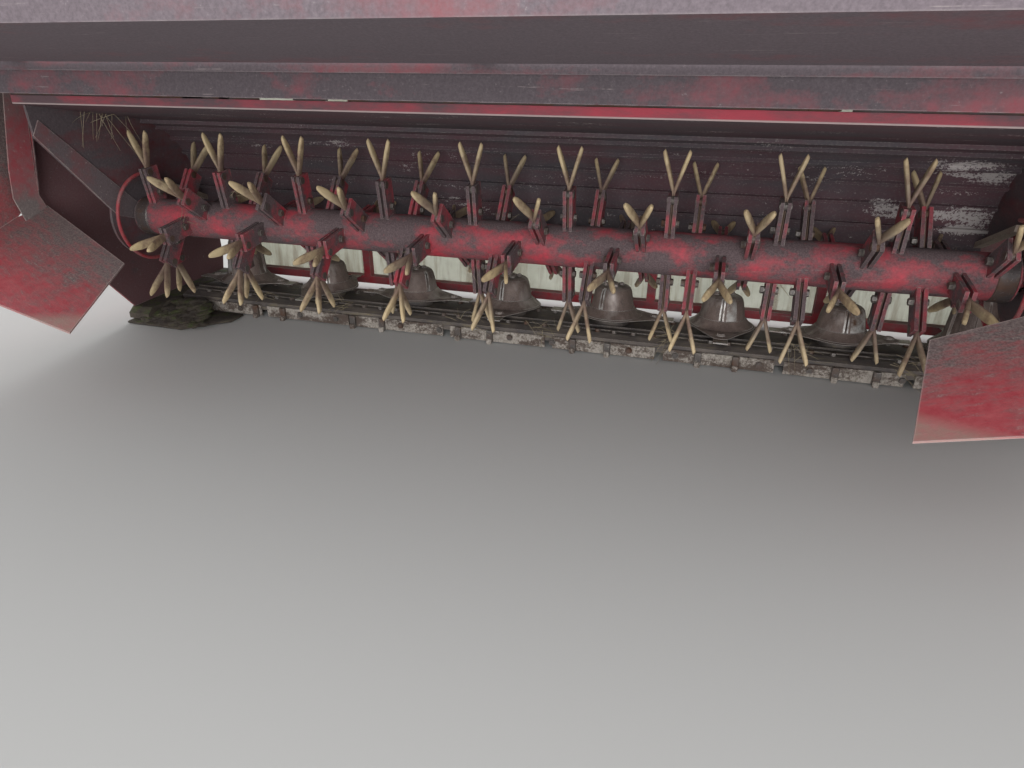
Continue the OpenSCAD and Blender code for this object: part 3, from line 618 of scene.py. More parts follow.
def knife_steel():
    """Dull grey, rubbed bright along the edges, with cloudy brown rust."""
    steel = Finish("knife steel")
    cloud = steel.noise(35.0)
    base = steel.fade(cloud, 0.42, 0.62, (0.26, 0.24, 0.22), (0.13, 0.075, 0.050))
    return steel.done(steel.mix(steel.edges(0.003), base, (0.6, 0.58, 0.56)), 0.42,
                      metal=steel.ramp(cloud, 0.42, 0.62, 0.9, 0.3), bump=cloud, depth=0.001)


clad([f"knives_{number}" for number in range(1, 9)], knife_steel())

# End sledges: pressed steel at both ends of the housing, which carry the outer walls. They are
# overgrown with damp moss and mud where crop settles, above all on the left one.
SLEDGE_REAR = 0.188
CLODS = 150
TOE = np.array([[-1.690, 0.0], [-1.431, -0.008], [-1.292, 0.125], [-1.292, 0.200], [-1.690, 0.200]])


def mossy_steel():
    """Dark mud on steel with clumps of moss on faces that look up."""
    mud = Finish("mossy muddy steel")
    clumps = mud.noise(16.0, 9.0, 0.7)
    grain = mud.noise(120.0, 5.0, 0.75)
    base = mud.fade(clumps, 0.4, 0.6, (0.050, 0.040, 0.034), (0.105, 0.085, 0.065))
    green = mud.fade(grain, 0.35, 0.65, (0.030, 0.045, 0.014), (0.105, 0.125, 0.040))
    covered = mud.times(mud.upward(), mud.ramp(clumps, 0.50, 0.60))
    relief = mud.plus(clumps, mud.times(grain, 0.7))
    return mud.done(mud.mix(covered, base, green), 0.9, bump=relief, depth=0.008)


def clod(centre, size, seed):
    """Lump of mud and moss: a flattened ball whose radius waves with sines of its two angles."""
    down = np.linspace(0.06, math.pi - 0.06, 9)[::-1, None]
    around = np.linspace(0.0, 2.0 * math.pi, 16, endpoint=False)
    wave = 1.0 + 0.20 * np.sin(3 * around + seed) * np.sin(down)
    wave = size * (wave + 0.14 * np.sin(5 * down + 2 * around + seed))
    return surface(centre[0] + 1.5 * wave * np.sin(down) * np.cos(around),
                   centre[1] + 1.6 * wave * np.sin(down) * np.sin(around),
                   centre[2] + 0.42 * wave * np.cos(down))


moss = mossy_steel()
clad(["end_skids"], moss)
random = np.random.default_rng(7)
clods = []
for seed in range(CLODS):
    share = random.uniform(0.0, 1.0)
    x = random.uniform(-1.645, -1.36 - 0.10 * share)
    size = random.uniform(0.008, 0.026)
    z = 0.56 * size + 0.002 + 0.040 * share * (x < -1.40)
    clods.append(clod((x, SLEDGE_REAR + 0.030 + 0.150 * share, z), size, seed))
toe_line = TOE + [0.0, SLEDGE_REAR]
toe_inner = drawn_in(toe_line, 0.99)
points, faces = skin(stack([toe_inner, toe_line, toe_line, toe_inner], [0.003, 0.005, 0.010, 0.012]))
right_toe = points * [-1.0, 1.0, 1.0], [part[:, ::-1] for part in faces]
piece("sledge_moss", joined(*clods, (points, faces), right_toe), moss, "root", smooth=80.0)

# Side walls: pressed red sheet. The inner walls carry the rotor and are dark with juice and dust
# inside; the outer walls stand on the sledges and have a folded rear flange.
DUSK = (0.090, 0.073, 0.080)
DRY_DUST = (0.36, 0.32, 0.27)


def sheet_paint(name, red, grime, bare, cover, streak=(1.0, 1.0, 5.0), dust=0.0, scratches=0.5,
                inside=False):
    """Faded paint under grime. Cover is the share of grime; streak stretches its clouds; dust is
    the share of pale dust on top faces; thin scratches and the edges go down to bare metal. On a
    side wall the inside, whose faces look to the middle of the machine, is all grime."""
    paint = Finish(name)
    cloud = paint.noise(2.6, 9.0, 0.62, streak)
    mottle = paint.noise(26.0, 6.0, 0.7)
    grain = paint.noise(170.0, 4.0, 0.7)
    faded = paint.fade(mottle, 0.35, 0.7, red, tuple(0.72 * c + 0.07 for c in red))
    both = paint.plus(cloud, paint.ramp(mottle, 0.3, 0.7, -0.06, 0.06))
    edge = 0.74 - 0.48 * cover
    dirty = paint.ramp(both, edge - 0.13, edge + 0.13)
    if inside:
        inward = paint.ramp(paint.times(paint.normal("X"), paint.axis("X")), -0.5, -1.0)
        dirty = paint.most(dirty, paint.times(inward, 0.86))
    colour = paint.mix(dirty, faded, paint.fade(grain, 0.36, 0.66, grime, tuple(1.4 * c for c in grime)))
    lines = paint.noise(11.0, 3.0, 0.5, place=paint.stretched((0.35, 9.0, 9.0), (0.0, 0.09, 0.05)))
    thin = paint.times(paint.ramp(lines, 0.668, 0.69), paint.ramp(mottle, 0.45, 0.6))
    chips = paint.times(paint.ramp(grain, 0.62, 0.68), paint.ramp(mottle, 0.52, 0.64))
    worn = paint.most(paint.times(thin, scratches), paint.times(chips, scratches))
    worn = paint.most(worn, paint.times(paint.edges(0.004), paint.ramp(mottle, 0.35, 0.6)))
    colour = paint.mix(worn, colour, bare)
    if dust:
        lying = paint.times(paint.upward(), paint.ramp(both, 0.3, 0.62, 0.2 * dust, dust))
        colour = paint.mix(lying, colour, DRY_DUST)
    relief = paint.plus(paint.times(both, 0.5), paint.times(grain, 0.35))
    return paint.done(colour, paint.ramp(dirty, 0.0, 1.0, 0.5, 0.85), bump=relief, depth=0.0016)


inner_paint = sheet_paint("inner wall paint", (0.16, 0.030, 0.038), DUSK, (0.27, 0.24, 0.23), 0.62)
outer_paint = sheet_paint("outer wall paint", (0.36, 0.030, 0.042), (0.115, 0.075, 0.080),
                          (0.34, 0.30, 0.28), 0.42, dust=0.3, inside=True)
clad(["inner_wall_left", "inner_wall_right"], inner_paint)
clad(["outer_wall_left", "outer_wall_right"], outer_paint)
clad(["rotor_bearings"], dirty_steel("bearing steel", (0.075, 0.066, 0.062)))

# Stiffening plates along the diagonal rear edges of the inner walls, rubbed pale along the edge;
# rubbed bars along their lower front edges; narrow strips that close the gap between the outer
# walls and the shields; and blanking sheets in the spaces between the walls. All are welded on.
EDGE_PLATE = ((-0.350, 0.760), (-0.113, 0.472), (-0.020, 0.440), (0.035, 0.452), (-0.320, 0.802))
GAP_STRIP = ((-0.195, 0.940), (-0.250, 0.640), (-0.260, 0.560), (-0.232, 0.487), (-0.326, 0.466),
             (-0.352, 0.565), (-0.338, 0.650), (-0.262, 0.940))
FRONT_BAR = ((0.078, 0.574), (0.598, 0.352), (0.598, 0.334), (0.078, 0.556))
SHEET_THICK, BAR_THICK = 0.003, 0.022
GAP_STRIP_OUT = 1.632
BLANK_INNER, BLANK_OUTER = {-1.0: 1.489, 1.0: 1.333}, 1.686
BLANK_Y, BLANK_HEIGHTS = 0.600, (0.315, 0.895)
inside_of = {-1.0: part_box("inner_wall_left")[1][0], 1.0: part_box("inner_wall_right")[0][0]}


def side_plate(outline, x, thick):
    """Plate of that outline, given behind the rotor axis in Y and above the ground in Z, upright
    between x and x plus its thickness."""
    line = np.array(outline) + [AXIS[1], 0.0]
    return surface(np.array([[min(x, x + thick)], [max(x, x + thick)]]), line[:, 0], line[:, 1])


edge_paint = sheet_paint("edge plate paint", (0.26, 0.060, 0.070), (0.135, 0.108, 0.114),
                         (0.50, 0.44, 0.41), 0.62, (1.0, 2.0, 2.0))
rubbed_bar = sheet_paint("rubbed bar paint", (0.30, 0.20, 0.17), (0.36, 0.31, 0.25),
                         (0.52, 0.47, 0.40), 0.60)
flange_paint = sheet_paint("flange paint", (0.42, 0.060, 0.080), (0.185, 0.155, 0.150),
                           (0.46, 0.41, 0.38), 0.58, (1.0, 1.0, 1.6), scratches=0.8)
edge_plates = [side_plate(EDGE_PLATE, inside_of[side], -side * SHEET_THICK) for side in SIDES]
front_bars = [side_plate(FRONT_BAR, inside_of[side], -side * BAR_THICK) for side in SIDES]
gap_strips = []
for side in SIDES:
    gap_strips.append(side_plate(GAP_STRIP, side * GAP_STRIP_OUT, side * SHEET_THICK))
    near, far = sorted((side * BLANK_INNER[side], side * BLANK_OUTER))
    blank = np.array([[near, 0.0], [far, 0.0], [far, SHEET_THICK], [near, SHEET_THICK]])
    blank[:, 1] += AXIS[1] + BLANK_Y
    gap_strips.append(skin(stack([blank, blank], BLANK_HEIGHTS)))
piece("edge_plates", joined(*edge_plates), edge_paint, "root")
piece("wall_edge_bars", joined(*front_bars), rubbed_bar, "root")
piece("gap_strips", joined(*gap_strips), flange_paint, "root")

# Hoops round the rotor's ends: bent red rods welded to the inner walls, which keep crop from
# winding onto the shafts. With them the collars at the tube's ends, which turn with it, and the
# bolts of the bearing flanges outside.
HOOP_RADIUS, ROD_RADIUS, HOOP_STAND = 0.150, 0.006, 0.036
HOOP_FROM, HOOP_TO = -118.0, 168.0
TUBE_HALF, COLLAR_RADIUS = 1.352, 0.0665
SKEWED = (0.31, 0.52, 0.79)


def rod(path, radius, sides=10, up=(1.0, 0.0, 0.0)):
    """Round rod along the path: at each point a circle across the way, laid out from the given
    direction, which the path never takes."""
    path = np.asarray(path, dtype=float)
    way = np.gradient(path, axis=0)
    way /= np.linalg.norm(way, axis=1, keepdims=True)
    first = np.cross(way, np.array(up))
    first /= np.linalg.norm(first, axis=1, keepdims=True)
    second = np.cross(way, first)
    around = np.linspace(0.0, 2.0 * math.pi, sides, endpoint=False)[None, :, None]
    radii = np.broadcast_to(np.asarray(radius, dtype=float), (len(path),))[:, None, None]
    return skin(path[:, None] + radii * (np.cos(around) * first[:, None] + np.sin(around) * second[:, None]))


turn = np.radians(np.linspace(HOOP_FROM, HOOP_TO, 40))
hoops = []
for side in SIDES:
    stand = HOOP_STAND * np.concatenate([[0.0, 0.5, 0.9], np.ones(34), [0.9, 0.5, 0.0]])
    hoops.append(rod(spots(inside_of[side] - side * stand, AXIS[1] - HOOP_RADIUS * np.cos(turn),
                           AXIS[2] - HOOP_RADIUS * np.sin(turn)), ROD_RADIUS))
red_rod = sheet_paint("red rod paint", (0.42, 0.025, 0.040), (0.14, 0.05, 0.055), (0.35, 0.3, 0.28), 0.3)
piece("shaft_hoops", joined(*hoops), red_rod, "root", smooth=70.0)
end_collar = turned([COLLAR_RADIUS - 0.0025, COLLAR_RADIUS, COLLAR_RADIUS, COLLAR_RADIUS - 0.0025],
                    [-0.024, -0.021, 0.021, 0.024])
tube_ends = spots(AXIS[0] + np.array([-TUBE_HALF, TUBE_HALF]), AXIS[1], AXIS[2])
piece("tube_end_sleeves", many(end_collar, facing((1, 0, 0)), tube_ends),
      dirty_steel("sleeve end steel", (0.075, 0.062, 0.062)), "rotor")
on_flange = AXIS[1:] + circle(0.062, 4, start=math.pi / 4)
for side, name in SIDES.items():
    flange_bolts = spots(inside_of[side] + side * 0.020, on_flange[:, 0], on_flange[:, 1])
    piece(f"bearing_bolts_{name}", bolts(0.019, 0.012, flange_bolts, (side, 0, 0)),
          bolt_steel, "root")

# Top cover: one sheet from the folded lip at the rear over the top and down the front slope,
# bolted along its rear edge. It is hazy with dust, and scratched by the crop on its underside.
SEAM_ROOM, SEAM_BOLTS = 0.030, 17
cover_low, cover_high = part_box("top_cover")
COVER_TOP = cover_high[2]
cover_paint = sheet_paint("cover paint", (0.28, 0.045, 0.060), (0.100, 0.080, 0.090),
                          (0.26, 0.22, 0.22), 0.70, (0.5, 4.0, 4.0), 0.5, 0.6)
clad(["top_cover"], cover_paint)
seam_spots = spots(np.linspace(-1.60, 1.60, SEAM_BOLTS), cover_low[1] + SEAM_ROOM, COVER_TOP)
piece("cover_seam_bolts", bolts(0.016, 0.008, seam_spots), bolt_steel, "root")

# Channel under the cover: folded dark red sheet that ties the inner walls together, dusty in
# streaks along it and scratched by the crop that flies past.
channel_paint = sheet_paint("channel paint", (0.34, 0.048, 0.070), (0.098, 0.080, 0.090),
                            (0.36, 0.30, 0.30), 0.72, (0.9, 2.5, 2.5), scratches=0.6)
clad(["rear_beam"], channel_paint)

# Conditioning plate: ribbed sheet over the rotor, dusty dark red, scoured bare by the crop in a
# few granular patches by its right end. The strip along its rear edge is rubbed red; its pale
# lower edge is partly bare metal and partly a painted highlight.
SCOURED = (((1.22, 0.0, 0.692), (0.12, 0.034)), ((1.24, 0.0, 0.545), (0.10, 0.038)),
           ((1.26, 0.0, 0.495), (0.08, 0.012)), ((1.045, 0.0, 0.550), (0.055, 0.034)))
STRIP_FRONT, STRIP_BARE_AND_HIGHLIT_BELOW = AXIS[1] - 0.378, 0.8555


def ribbed_plate_paint():
    """Dusty dark red; each scoured patch fades with the distance from its middle, measured in its
    own half width and half height, and breaks up into grains."""
    paint = Finish("conditioning plate paint")
    cloud = paint.noise(3.0, 9.0, 0.65, (0.8, 2.5, 2.5))
    grain = paint.noise(140.0, 5.0, 0.75)
    scour = paint.noise(4.2, 8.0, 0.7, (1.1, 3.0, 5.0))
    base = paint.fade(cloud, 0.40, 0.66, (0.082, 0.070, 0.080), (0.125, 0.055, 0.068))
    speckled = paint.mix(paint.ramp(grain, 0.52, 0.66, 0.0, 0.6), base, (0.15, 0.13, 0.13))
    both = paint.plus(scour, paint.ramp(grain, 0.35, 0.65, -0.17, 0.05))
    for middle, half in SCOURED:
        away = paint.distance(middle, (1.0 / half[0], 0.0, 1.0 / half[1]))
        both = paint.plus(both, paint.ramp(away, 1.5, 0.6, 0.0, 0.19))
    bare = paint.ramp(both, 0.59, 0.64)
    worn = paint.times(paint.edges(0.003), paint.ramp(grain, 0.45, 0.6))
    colour = paint.mix(worn, paint.mix(bare, speckled, (0.50, 0.46, 0.45)), (0.30, 0.27, 0.26))
    rubbed = paint.fade(cloud, 0.42, 0.60, (0.115, 0.070, 0.080), (0.40, 0.050, 0.075))
    # The pale band below this height is partly bare metal and partly a painted highlight along the strip's
    # lower edge.
    hem = paint.ramp(paint.axis("Z"), STRIP_BARE_AND_HIGHLIT_BELOW + 0.001, STRIP_BARE_AND_HIGHLIT_BELOW - 0.001, 0.0, 0.9)
    rubbed = paint.mix(hem, rubbed, (0.44, 0.36, 0.35))
    colour = paint.fade(paint.axis("Y"), STRIP_FRONT + 0.0005, STRIP_FRONT - 0.0005, colour, rubbed)
    return paint.done(colour, paint.ramp(bare, 0.0, 1.0, 0.75, 0.5),
                      bump=paint.plus(cloud, grain), depth=0.0012)


clad(["conditioner_plate"], ribbed_plate_paint())

# Dark lumps in the slot between the channel and the plate's strip, open at a few places through
# which daylight shows. Their dark colour is painted shade: they stand for the shade inside the slot.
OPEN_PLACES = ((-0.885, -0.822), (-0.769, -0.738), (-0.647, -0.547), (-0.447, -0.388), (0.754, 0.777))
SLOT_Y, SLOT_Z = AXIS[1] - 0.382, 0.880
SLOT_END = 0.003


def shade_lump(x_from, x_to):
    """Lump along the slot: a flat ring of eight points whose size waves with two sines of X."""
    x = np.linspace(x_from, x_to, max(int((x_to - x_from) / 0.02), 3))[:, None]
    wave = 1.0 + 0.16 * np.sin(x * 47.0) + 0.10 * np.sin(x * 131.0)
    wave[[0, -1]] *= 0.75
    outline = circle(1.0, 8, start=0.39) * [0.0024, 0.0052]
    return surface(x, outline[:, 0] * wave + SLOT_Y, outline[:, 1] * wave + SLOT_Z)


plate_low, plate_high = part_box("conditioner_plate")
stops = [plate_low[0] + SLOT_END, *np.ravel(OPEN_PLACES), plate_high[0] - SLOT_END]
# Painted shade: the lumps' dark colour stands for the shade inside the slot.
slot_shade = dirty_steel("painted slot shade", (0.075, 0.060, 0.062), (0.13, 0.11, 0.10), 0.8)
piece("slot_shade_lumps", joined(*[shade_lump(*pair) for pair in zip(stops[::2], stops[1::2])]), slot_shade, "root",
      smooth=80.0)

# Rear hood: a large sheet on three hinges at the seam, here raised. Its underside is dusty and
# scratched, and its blue-grey haze is painted glare; five folded ribs on top run from the hinges to its end.
HOOD_RISE, HOOD_RUN, HOOD_GAP = 0.095, 0.574, 0.026
RIB_FROM, RIB_TO = 0.16, 0.95
HOOD_SEAM = cover_low[1] - HOOD_GAP
# Most of the hood takes the grey-blue grime colour, which is partly dust and partly painted glare.
hood_paint = sheet_paint("hood paint", (0.26, 0.060, 0.072), (0.135, 0.110, 0.124),
                         (0.27, 0.23, 0.235), 0.86, (0.6, 1.6, 1.6), 0.5, 0.9)
clad(["rear_hood"], hood_paint)
clad(["hood_hinges", "guard_hinges", "shield_brackets"], dirty_steel("hinge steel"))


def hood_rib(x, half_width, height):
    """Top-hat rib on the hood, from near the hinge to near the end: a trapezium section carried
    along the hood's slope."""
    share = np.linspace(RIB_FROM, RIB_TO, 12)[:, None]
    fade = np.clip(np.minimum(share - RIB_FROM, RIB_TO - share) / 0.05, 0.05, 1.0)
    out = half_width * np.array([1.0, 0.6, -0.6, -1.0])
    up = height * np.array([0.0, 1.0, 1.0, 0.0])
    return surface(x + out, HOOD_SEAM - share * HOOD_RUN, COVER_TOP - 0.0006 + share * HOOD_RISE + up * fade)


ribs = [hood_rib(x, 0.030, 0.012) for x in (-1.30, -0.65, 0.0, 0.65, 1.30)]
piece("hood_ribs", joined(*ribs), hood_paint, "hood", smooth=25.0)

# Swath shields: bent plates that gather the crop. The inner plate is scoured bright red where the
# crop slides off, and grey-brown with dust along its upper fold.
SHIELD_FOLD = 0.411
SHIELD_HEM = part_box("shield_left")[0][2]


def shield_paint(side):
    """Red paint with fine scratches along the crop's way, dusty within a band beside the upper
    fold, which is a line of constant y less its slope times the way out."""
    low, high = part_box("shield_" + SIDES[side])
    inner_x = high[0] if side < 0 else low[0]
    fold_at = AXIS[1] - 0.425 - SHIELD_FOLD * (abs(inner_x) + 0.072)
    paint = Finish("shield paint " + SIDES[side])
    across = paint.dot(paint.place, (-SHIELD_FOLD * side, 1.0, 0.0))
    beside = paint.ramp(across, fold_at - 0.24, fold_at - 0.02)
    cloud = paint.noise(5.0, 9.0, 0.66)
    mottle = paint.noise(34.0, 6.0, 0.7)
    grain = paint.noise(190.0, 4.0, 0.7)
    swung = paint.stretched((1.0, 1.0, 1.0), (0.0, 0.0, -side * math.atan(SHIELD_FOLD)))
    lines = paint.noise(9.0, 6.0, 0.7, place=paint.stretched((0.8, 9.0, 9.0), place=swung))
    red = paint.fade(mottle, 0.30, 0.72, (0.38, 0.048, 0.065), (0.48, 0.115, 0.125))
    both = paint.plus(cloud, paint.times(beside, 0.44))
    both = paint.plus(both, paint.ramp(mottle, 0.3, 0.7, -0.05, 0.05))
    both = paint.plus(both, paint.ramp(lines, 0.35, 0.65, -0.12, 0.12))
    hem = paint.ramp(paint.axis("Z"), SHIELD_HEM + 0.034, SHIELD_HEM + 0.022)
    dirty = paint.ramp(both, 0.46, 0.88)
    grime = paint.fade(grain, 0.4, 0.6, (0.125, 0.092, 0.092), (0.235, 0.185, 0.175))
    dried = paint.fade(mottle, 0.35, 0.65, (0.34, 0.27, 0.22), (0.42, 0.20, 0.19))
    colour = paint.mix(paint.times(hem, 0.8), paint.mix(dirty, red, grime), dried)
    thin = paint.times(paint.ramp(lines, 0.60, 0.66), paint.ramp(grain, 0.42, 0.60))
    specks = paint.times(paint.ramp(grain, 0.66, 0.71), paint.ramp(cloud, 0.48, 0.56))
    worn = paint.most(paint.times(thin, 0.45), specks)
    worn = paint.most(worn, paint.times(paint.edges(0.005), 0.8))
    relief = paint.plus(paint.times(both, 0.5), paint.times(grain, 0.3))
    return paint.done(paint.mix(worn, colour, (0.46, 0.36, 0.34)), paint.ramp(dirty, 0.0, 1.0, 0.42, 0.8),
                      bump=relief, depth=0.0018)


for side, name in SIDES.items():
    clad(["shield_" + name], shield_paint(side))

# Front guard: a welded frame of square steel tubes, painted bright red and dusty on top. It hangs
# on three hinges at the cover's front edge and carries the curtain.
frame_paint = sheet_paint("guard frame paint", (0.42, 0.028, 0.042), (0.12, 0.075, 0.078),
                          (0.34, 0.30, 0.28), 0.36, dust=0.4)
clad(["guard_frame"], frame_paint)

# Front curtain: coated cloth, grey-green and dirty, clamped to the upper tube and hanging free in
# shallow folds down to the lower one.
CLOTH_THICK, HEM_DROP, FOLD_DEPTH = 0.0022, 0.020, 0.0045
curtain_low, curtain_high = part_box("front_curtain")


def curtain_cloth():
    """Grid over the width and the drop. The cloth stands off the frame by a share of two waves
    along X that grow from nothing at the clamp to their full depth at the hem."""
    across = np.linspace(curtain_low[0], curtain_high[0], 221)
    down = np.linspace(0.0, 1.0, 29)[:, None]
    hem = curtain_low[2] - HEM_DROP
    wave = 0.6 * np.sin(across * 2.0 * math.pi / 0.33) + 0.4 * np.sin(across * 2.0 * math.pi / 0.147 + 1.3)
    stand = curtain_low[1] + CLOTH_THICK / 2 + FOLD_DEPTH * down ** 0.7 * (1.0 + wave)
    level = curtain_high[2] + (hem - curtain_high[2]) * down
    points = np.stack(np.broadcast_arrays(across, stand, level), axis=-1)
    index = np.arange(stand.size).reshape(stand.shape)
    quads = np.stack([index[:-1, 1:], index[1:, 1:], index[1:, :-1], index[:-1, :-1]], axis=-1)
    return points.reshape(-1, 3), [quads.reshape(-1, 4)]


def coated_cloth():
    """Grey-green coating, partly painted light: lightened to stand for daylight glowing through the cloth,
    with brown mud runs from below and pale dry splashes, over a fine weave.
    """
    cloth = Finish("dirty coated cloth")
    cloud = cloth.noise(3.5, 9.0, 0.65)
    splash = cloth.noise(48.0, 5.0, 0.75)
    runs = cloth.noise(16.0, stretch=(1.6, 1.0, 0.16))
    # The pale grey-green base is partly painted light: it is lightened to stand for daylight glowing through
    # the cloth.
    base = cloth.fade(cloud, 0.35, 0.68, (0.46, 0.475, 0.41), (0.27, 0.27, 0.225))
    low = cloth.ramp(cloth.axis("Z"), 0.30, 0.06)
    mud = cloth.times(cloth.ramp(runs, 0.45, 0.64), cloth.plus(low, 0.25))
    colour = cloth.mix(mud, base, (0.135, 0.105, 0.075))
    colour = cloth.mix(cloth.ramp(splash, 0.64, 0.72, 0.0, 0.6), colour, (0.45, 0.42, 0.35))
    cloth.shader.inputs["Subsurface Weight"].default_value = 0.7
    cloth.shader.inputs["Subsurface Radius"].default_value = (1.0, 1.0, 0.9)
    cloth.shader.inputs["Subsurface Scale"].default_value = 0.02
    return cloth.done(colour, 0.7, bump=cloth.plus(cloth.noise(700.0, 1.0), splash), depth=0.0006)


curtain = piece("hanging_curtain", curtain_cloth(), coated_cloth(), "guard", smooth=80.0)
thick = curtain.modifiers.new("thickness", "SOLIDIFY")
thick.thickness = CLOTH_THICK
thick.offset = 0.0
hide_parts("front_curtain")

# Clamp bar: a flat steel bar along the curtain's upper edge. A row of rivets through it and the
# cloth holds the curtain to the upper tube of the frame.
CLAMP_HALF, CLAMP_THICK = 0.014, 0.0024
clamp_z = curtain_high[2] - 0.018
clamp_y = curtain_low[1] + 0.0025
clamp_ends = np.linspace(curtain_low[0] + 0.01, curtain_high[0] - 0.01, 5)
clamp = flat_bar(clamp_ends, clamp_y, clamp_y + CLAMP_THICK,
                 clamp_z - CLAMP_HALF, clamp_z + CLAMP_HALF, 0.0012)
rivet_x = np.linspace(curtain_low[0] + 0.08, curtain_high[0] - 0.08, 15)
rivets = many(turned([0.006, 0.006, 0.003], [0.0, 0.0004, 0.0010], 12), facing((0, 1, 0)),
              spots(rivet_x, clamp_y + CLAMP_THICK, clamp_z))
piece("curtain_clamp", joined(clamp, rivets), bolt_steel, "guard")

# Main beam on the cover: a closed square steel tube, welded to the cover, with the coupling plates
# welded in pairs on its rear face. Bright red paint, dusty on top.
PLATE_PLACES = (0.620, 0.716)
PLATE_THICK = 0.016
beam_low, beam_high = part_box("main_beam")
beam_paint = sheet_paint("beam paint", (0.44, 0.028, 0.040), (0.13, 0.080, 0.080),
                         (0.34, 0.30, 0.28), 0.28, (0.8, 2.5, 2.5), 0.5)
clad(["main_beam", "coupling_brackets"], beam_paint)


def weld(first, last, radius, wave=0.22):
    """Weld bead from one point to the other: a rod whose radius swells in short regular steps."""
    first, last = np.array(first), np.array(last)
    length = np.linalg.norm(last - first)
    at = np.linspace(0.0, length, max(int(length / 0.004), 4))
    swell = radius * (1.0 + wave * np.abs(np.sin(at * math.pi / 0.009)))
    swell[[0, -1]] *= 0.5
    return rod(first + (last - first) * at[:, None] / length, swell, sides=6, up=SKEWED)


seams = []
for side in SIDES:
    for x in PLATE_PLACES:
        for edge in (x - 0.0005, x + PLATE_THICK + 0.0005):
            seams.append(weld((side * edge, beam_low[1] - 0.0005, beam_low[2] + 0.012),
                              (side * edge, beam_low[1] - 0.0005, beam_high[2] - 0.004), 0.0035))
for y in (beam_low[1] - 0.0005, beam_high[1] + 0.0005):
    seams.append(weld((beam_low[0] + 0.02, y, beam_low[2] + 0.002),
                      (beam_high[0] - 0.02, y, beam_low[2] + 0.002), 0.004, wave=0.12))
piece("beam_welds", joined(*seams), beam_paint, "root", smooth=50.0)

# Pin bushes of the coupling plates: turned steel rings, welded round the pin holes on the outer
# faces of each pair of plates.
COUPLING_AXIS = frame["record"]["mounts"][0]["pos_m"]
BUSH_INNER, BUSH_OUTER, BUSH_THICK = 0.0203, 0.034, 0.004


def ring(inner, outer, thick):
    """Flat ring about +Z with its outer edges cut off: six circles, joined back to the first."""
    cut, sides = 0.001, 32
    radii = [inner, outer - cut, outer, outer, outer - cut, inner]
    rings = stack([circle(radius, sides) for radius in radii], [0.0, 0.0, cut, thick - cut, thick, thick])
    index = np.arange(len(radii) * sides).reshape(len(radii), sides)
    beside = np.roll(index, -1, axis=1)
    under, beside_under = np.roll(index, -1, axis=0), np.roll(beside, -1, axis=0)
    return rings.reshape(-1, 3), [np.stack([index, beside, beside_under, under], axis=-1).reshape(-1, 4)]


bushes = []
for side in SIDES:
    for x, way in ((PLATE_PLACES[0], -1.0), (PLATE_PLACES[1] + PLATE_THICK, 1.0)):
        spot = (side * x, COUPLING_AXIS[1], COUPLING_AXIS[2])
        bushes.append(many(ring(BUSH_INNER, BUSH_OUTER, BUSH_THICK), facing((side * way, 0, 0)), spot))
piece("coupling_bushes", joined(*bushes), dirty_steel("bush steel"), "root")

# Gearboxes: one on the middle of the beam and one at each side, cast iron under old grey-black
# paint, split by a bolted flange, with covers and feet on bolts; the middle one has a plug.
GEAR_MIDDLE = np.array([0.0, AXIS[1] + 0.42, 1.230])
SPLIT_LEVEL, SPLIT_THICK = -0.047, 0.014
SIDE_SPLIT_LEVEL, SIDE_SPLIT_THICK = -0.052, 0.012
REARWARD = (0, -1, 0)


def cast_paint():
    """Dark grey paint on cast iron, rough as sand, dusty on top and rubbed along its edges."""
    cast = Finish("dusty cast iron")
    cloud = cast.noise(9.0, 8.0, 0.65)
    base = cast.fade(cloud, 0.4, 0.65, (0.060, 0.058, 0.058), (0.105, 0.088, 0.078))
    dust = cast.times(cast.upward(), cast.ramp(cloud, 0.3, 0.6, 0.25, 0.75))
    worn = cast.times(cast.edges(0.002), cast.ramp(cloud, 0.45, 0.6))
    colour = cast.mix(worn, cast.mix(dust, base, (0.28, 0.25, 0.21)), (0.24, 0.22, 0.21))
    relief = cast.plus(cast.noise(420.0, 2.0), cloud)
    return cast.done(colour, cast.ramp(cloud, 0.3, 0.7, 0.45, 0.8), bump=relief, depth=0.0008)


def plate(half_x, half_y, thick):
    """Flat plate on z = 0 with its corners and upper edges cut off."""
    cut = 0.002
    outline = octagon(-half_x, half_x, -half_y, half_y, 4.0 * cut)
    return skin(stack([outline, outline, outline * (1.0 - cut / half_x)], [0.0, thick - cut, thick]))


def corners(half_x, half_y, z):
    """Four points at the corners of a rectangle."""
    return np.array([(x, y, z) for x in (-half_x, half_x) for y in (-half_y, half_y)])


def cover_plate(half_x, half_y, thick, bolts_x, bolts_y):
    """Plate with bolts in two rows near its long edges."""
    rows = [(x, sign * bolts_y, thick - 0.0002) for x in bolts_x for sign in (-1.0, 1.0)]
    return joined(plate(half_x, half_y, thick), bolts(0.013, 0.006, rows))


cast_iron = cast_paint()
clad(["gearbox", "side_gearbox", "drive_column"], cast_iron)
split_middle = GEAR_MIDDLE + [0.0, 0.0, SPLIT_LEVEL]
split_bolts = [(x, y, SPLIT_THICK) for x in (-0.088, 0.088) for y in (-0.083, 0.0, 0.083)]
plug = joined(turned([0.014] * 2, [0.0, 0.004]), bolts(0.016, 0.008, [0, 0, 0.003]))
fittings = [many(plate(0.099, 0.094, SPLIT_THICK), np.eye(3), split_middle),
            bolts(0.014, 0.009, split_bolts + split_middle),
            many(cover_plate(0.062, 0.044, 0.006, (-0.05, 0.0, 0.05), 0.034), facing(REARWARD),
                 GEAR_MIDDLE + [0.0, -0.085, 0.022]),
            bolts(0.019, 0.010, corners(0.104, 0.088, -0.100) + GEAR_MIDDLE),
            many(plug, facing(REARWARD), GEAR_MIDDLE + [0.066, -0.085, -0.030])]
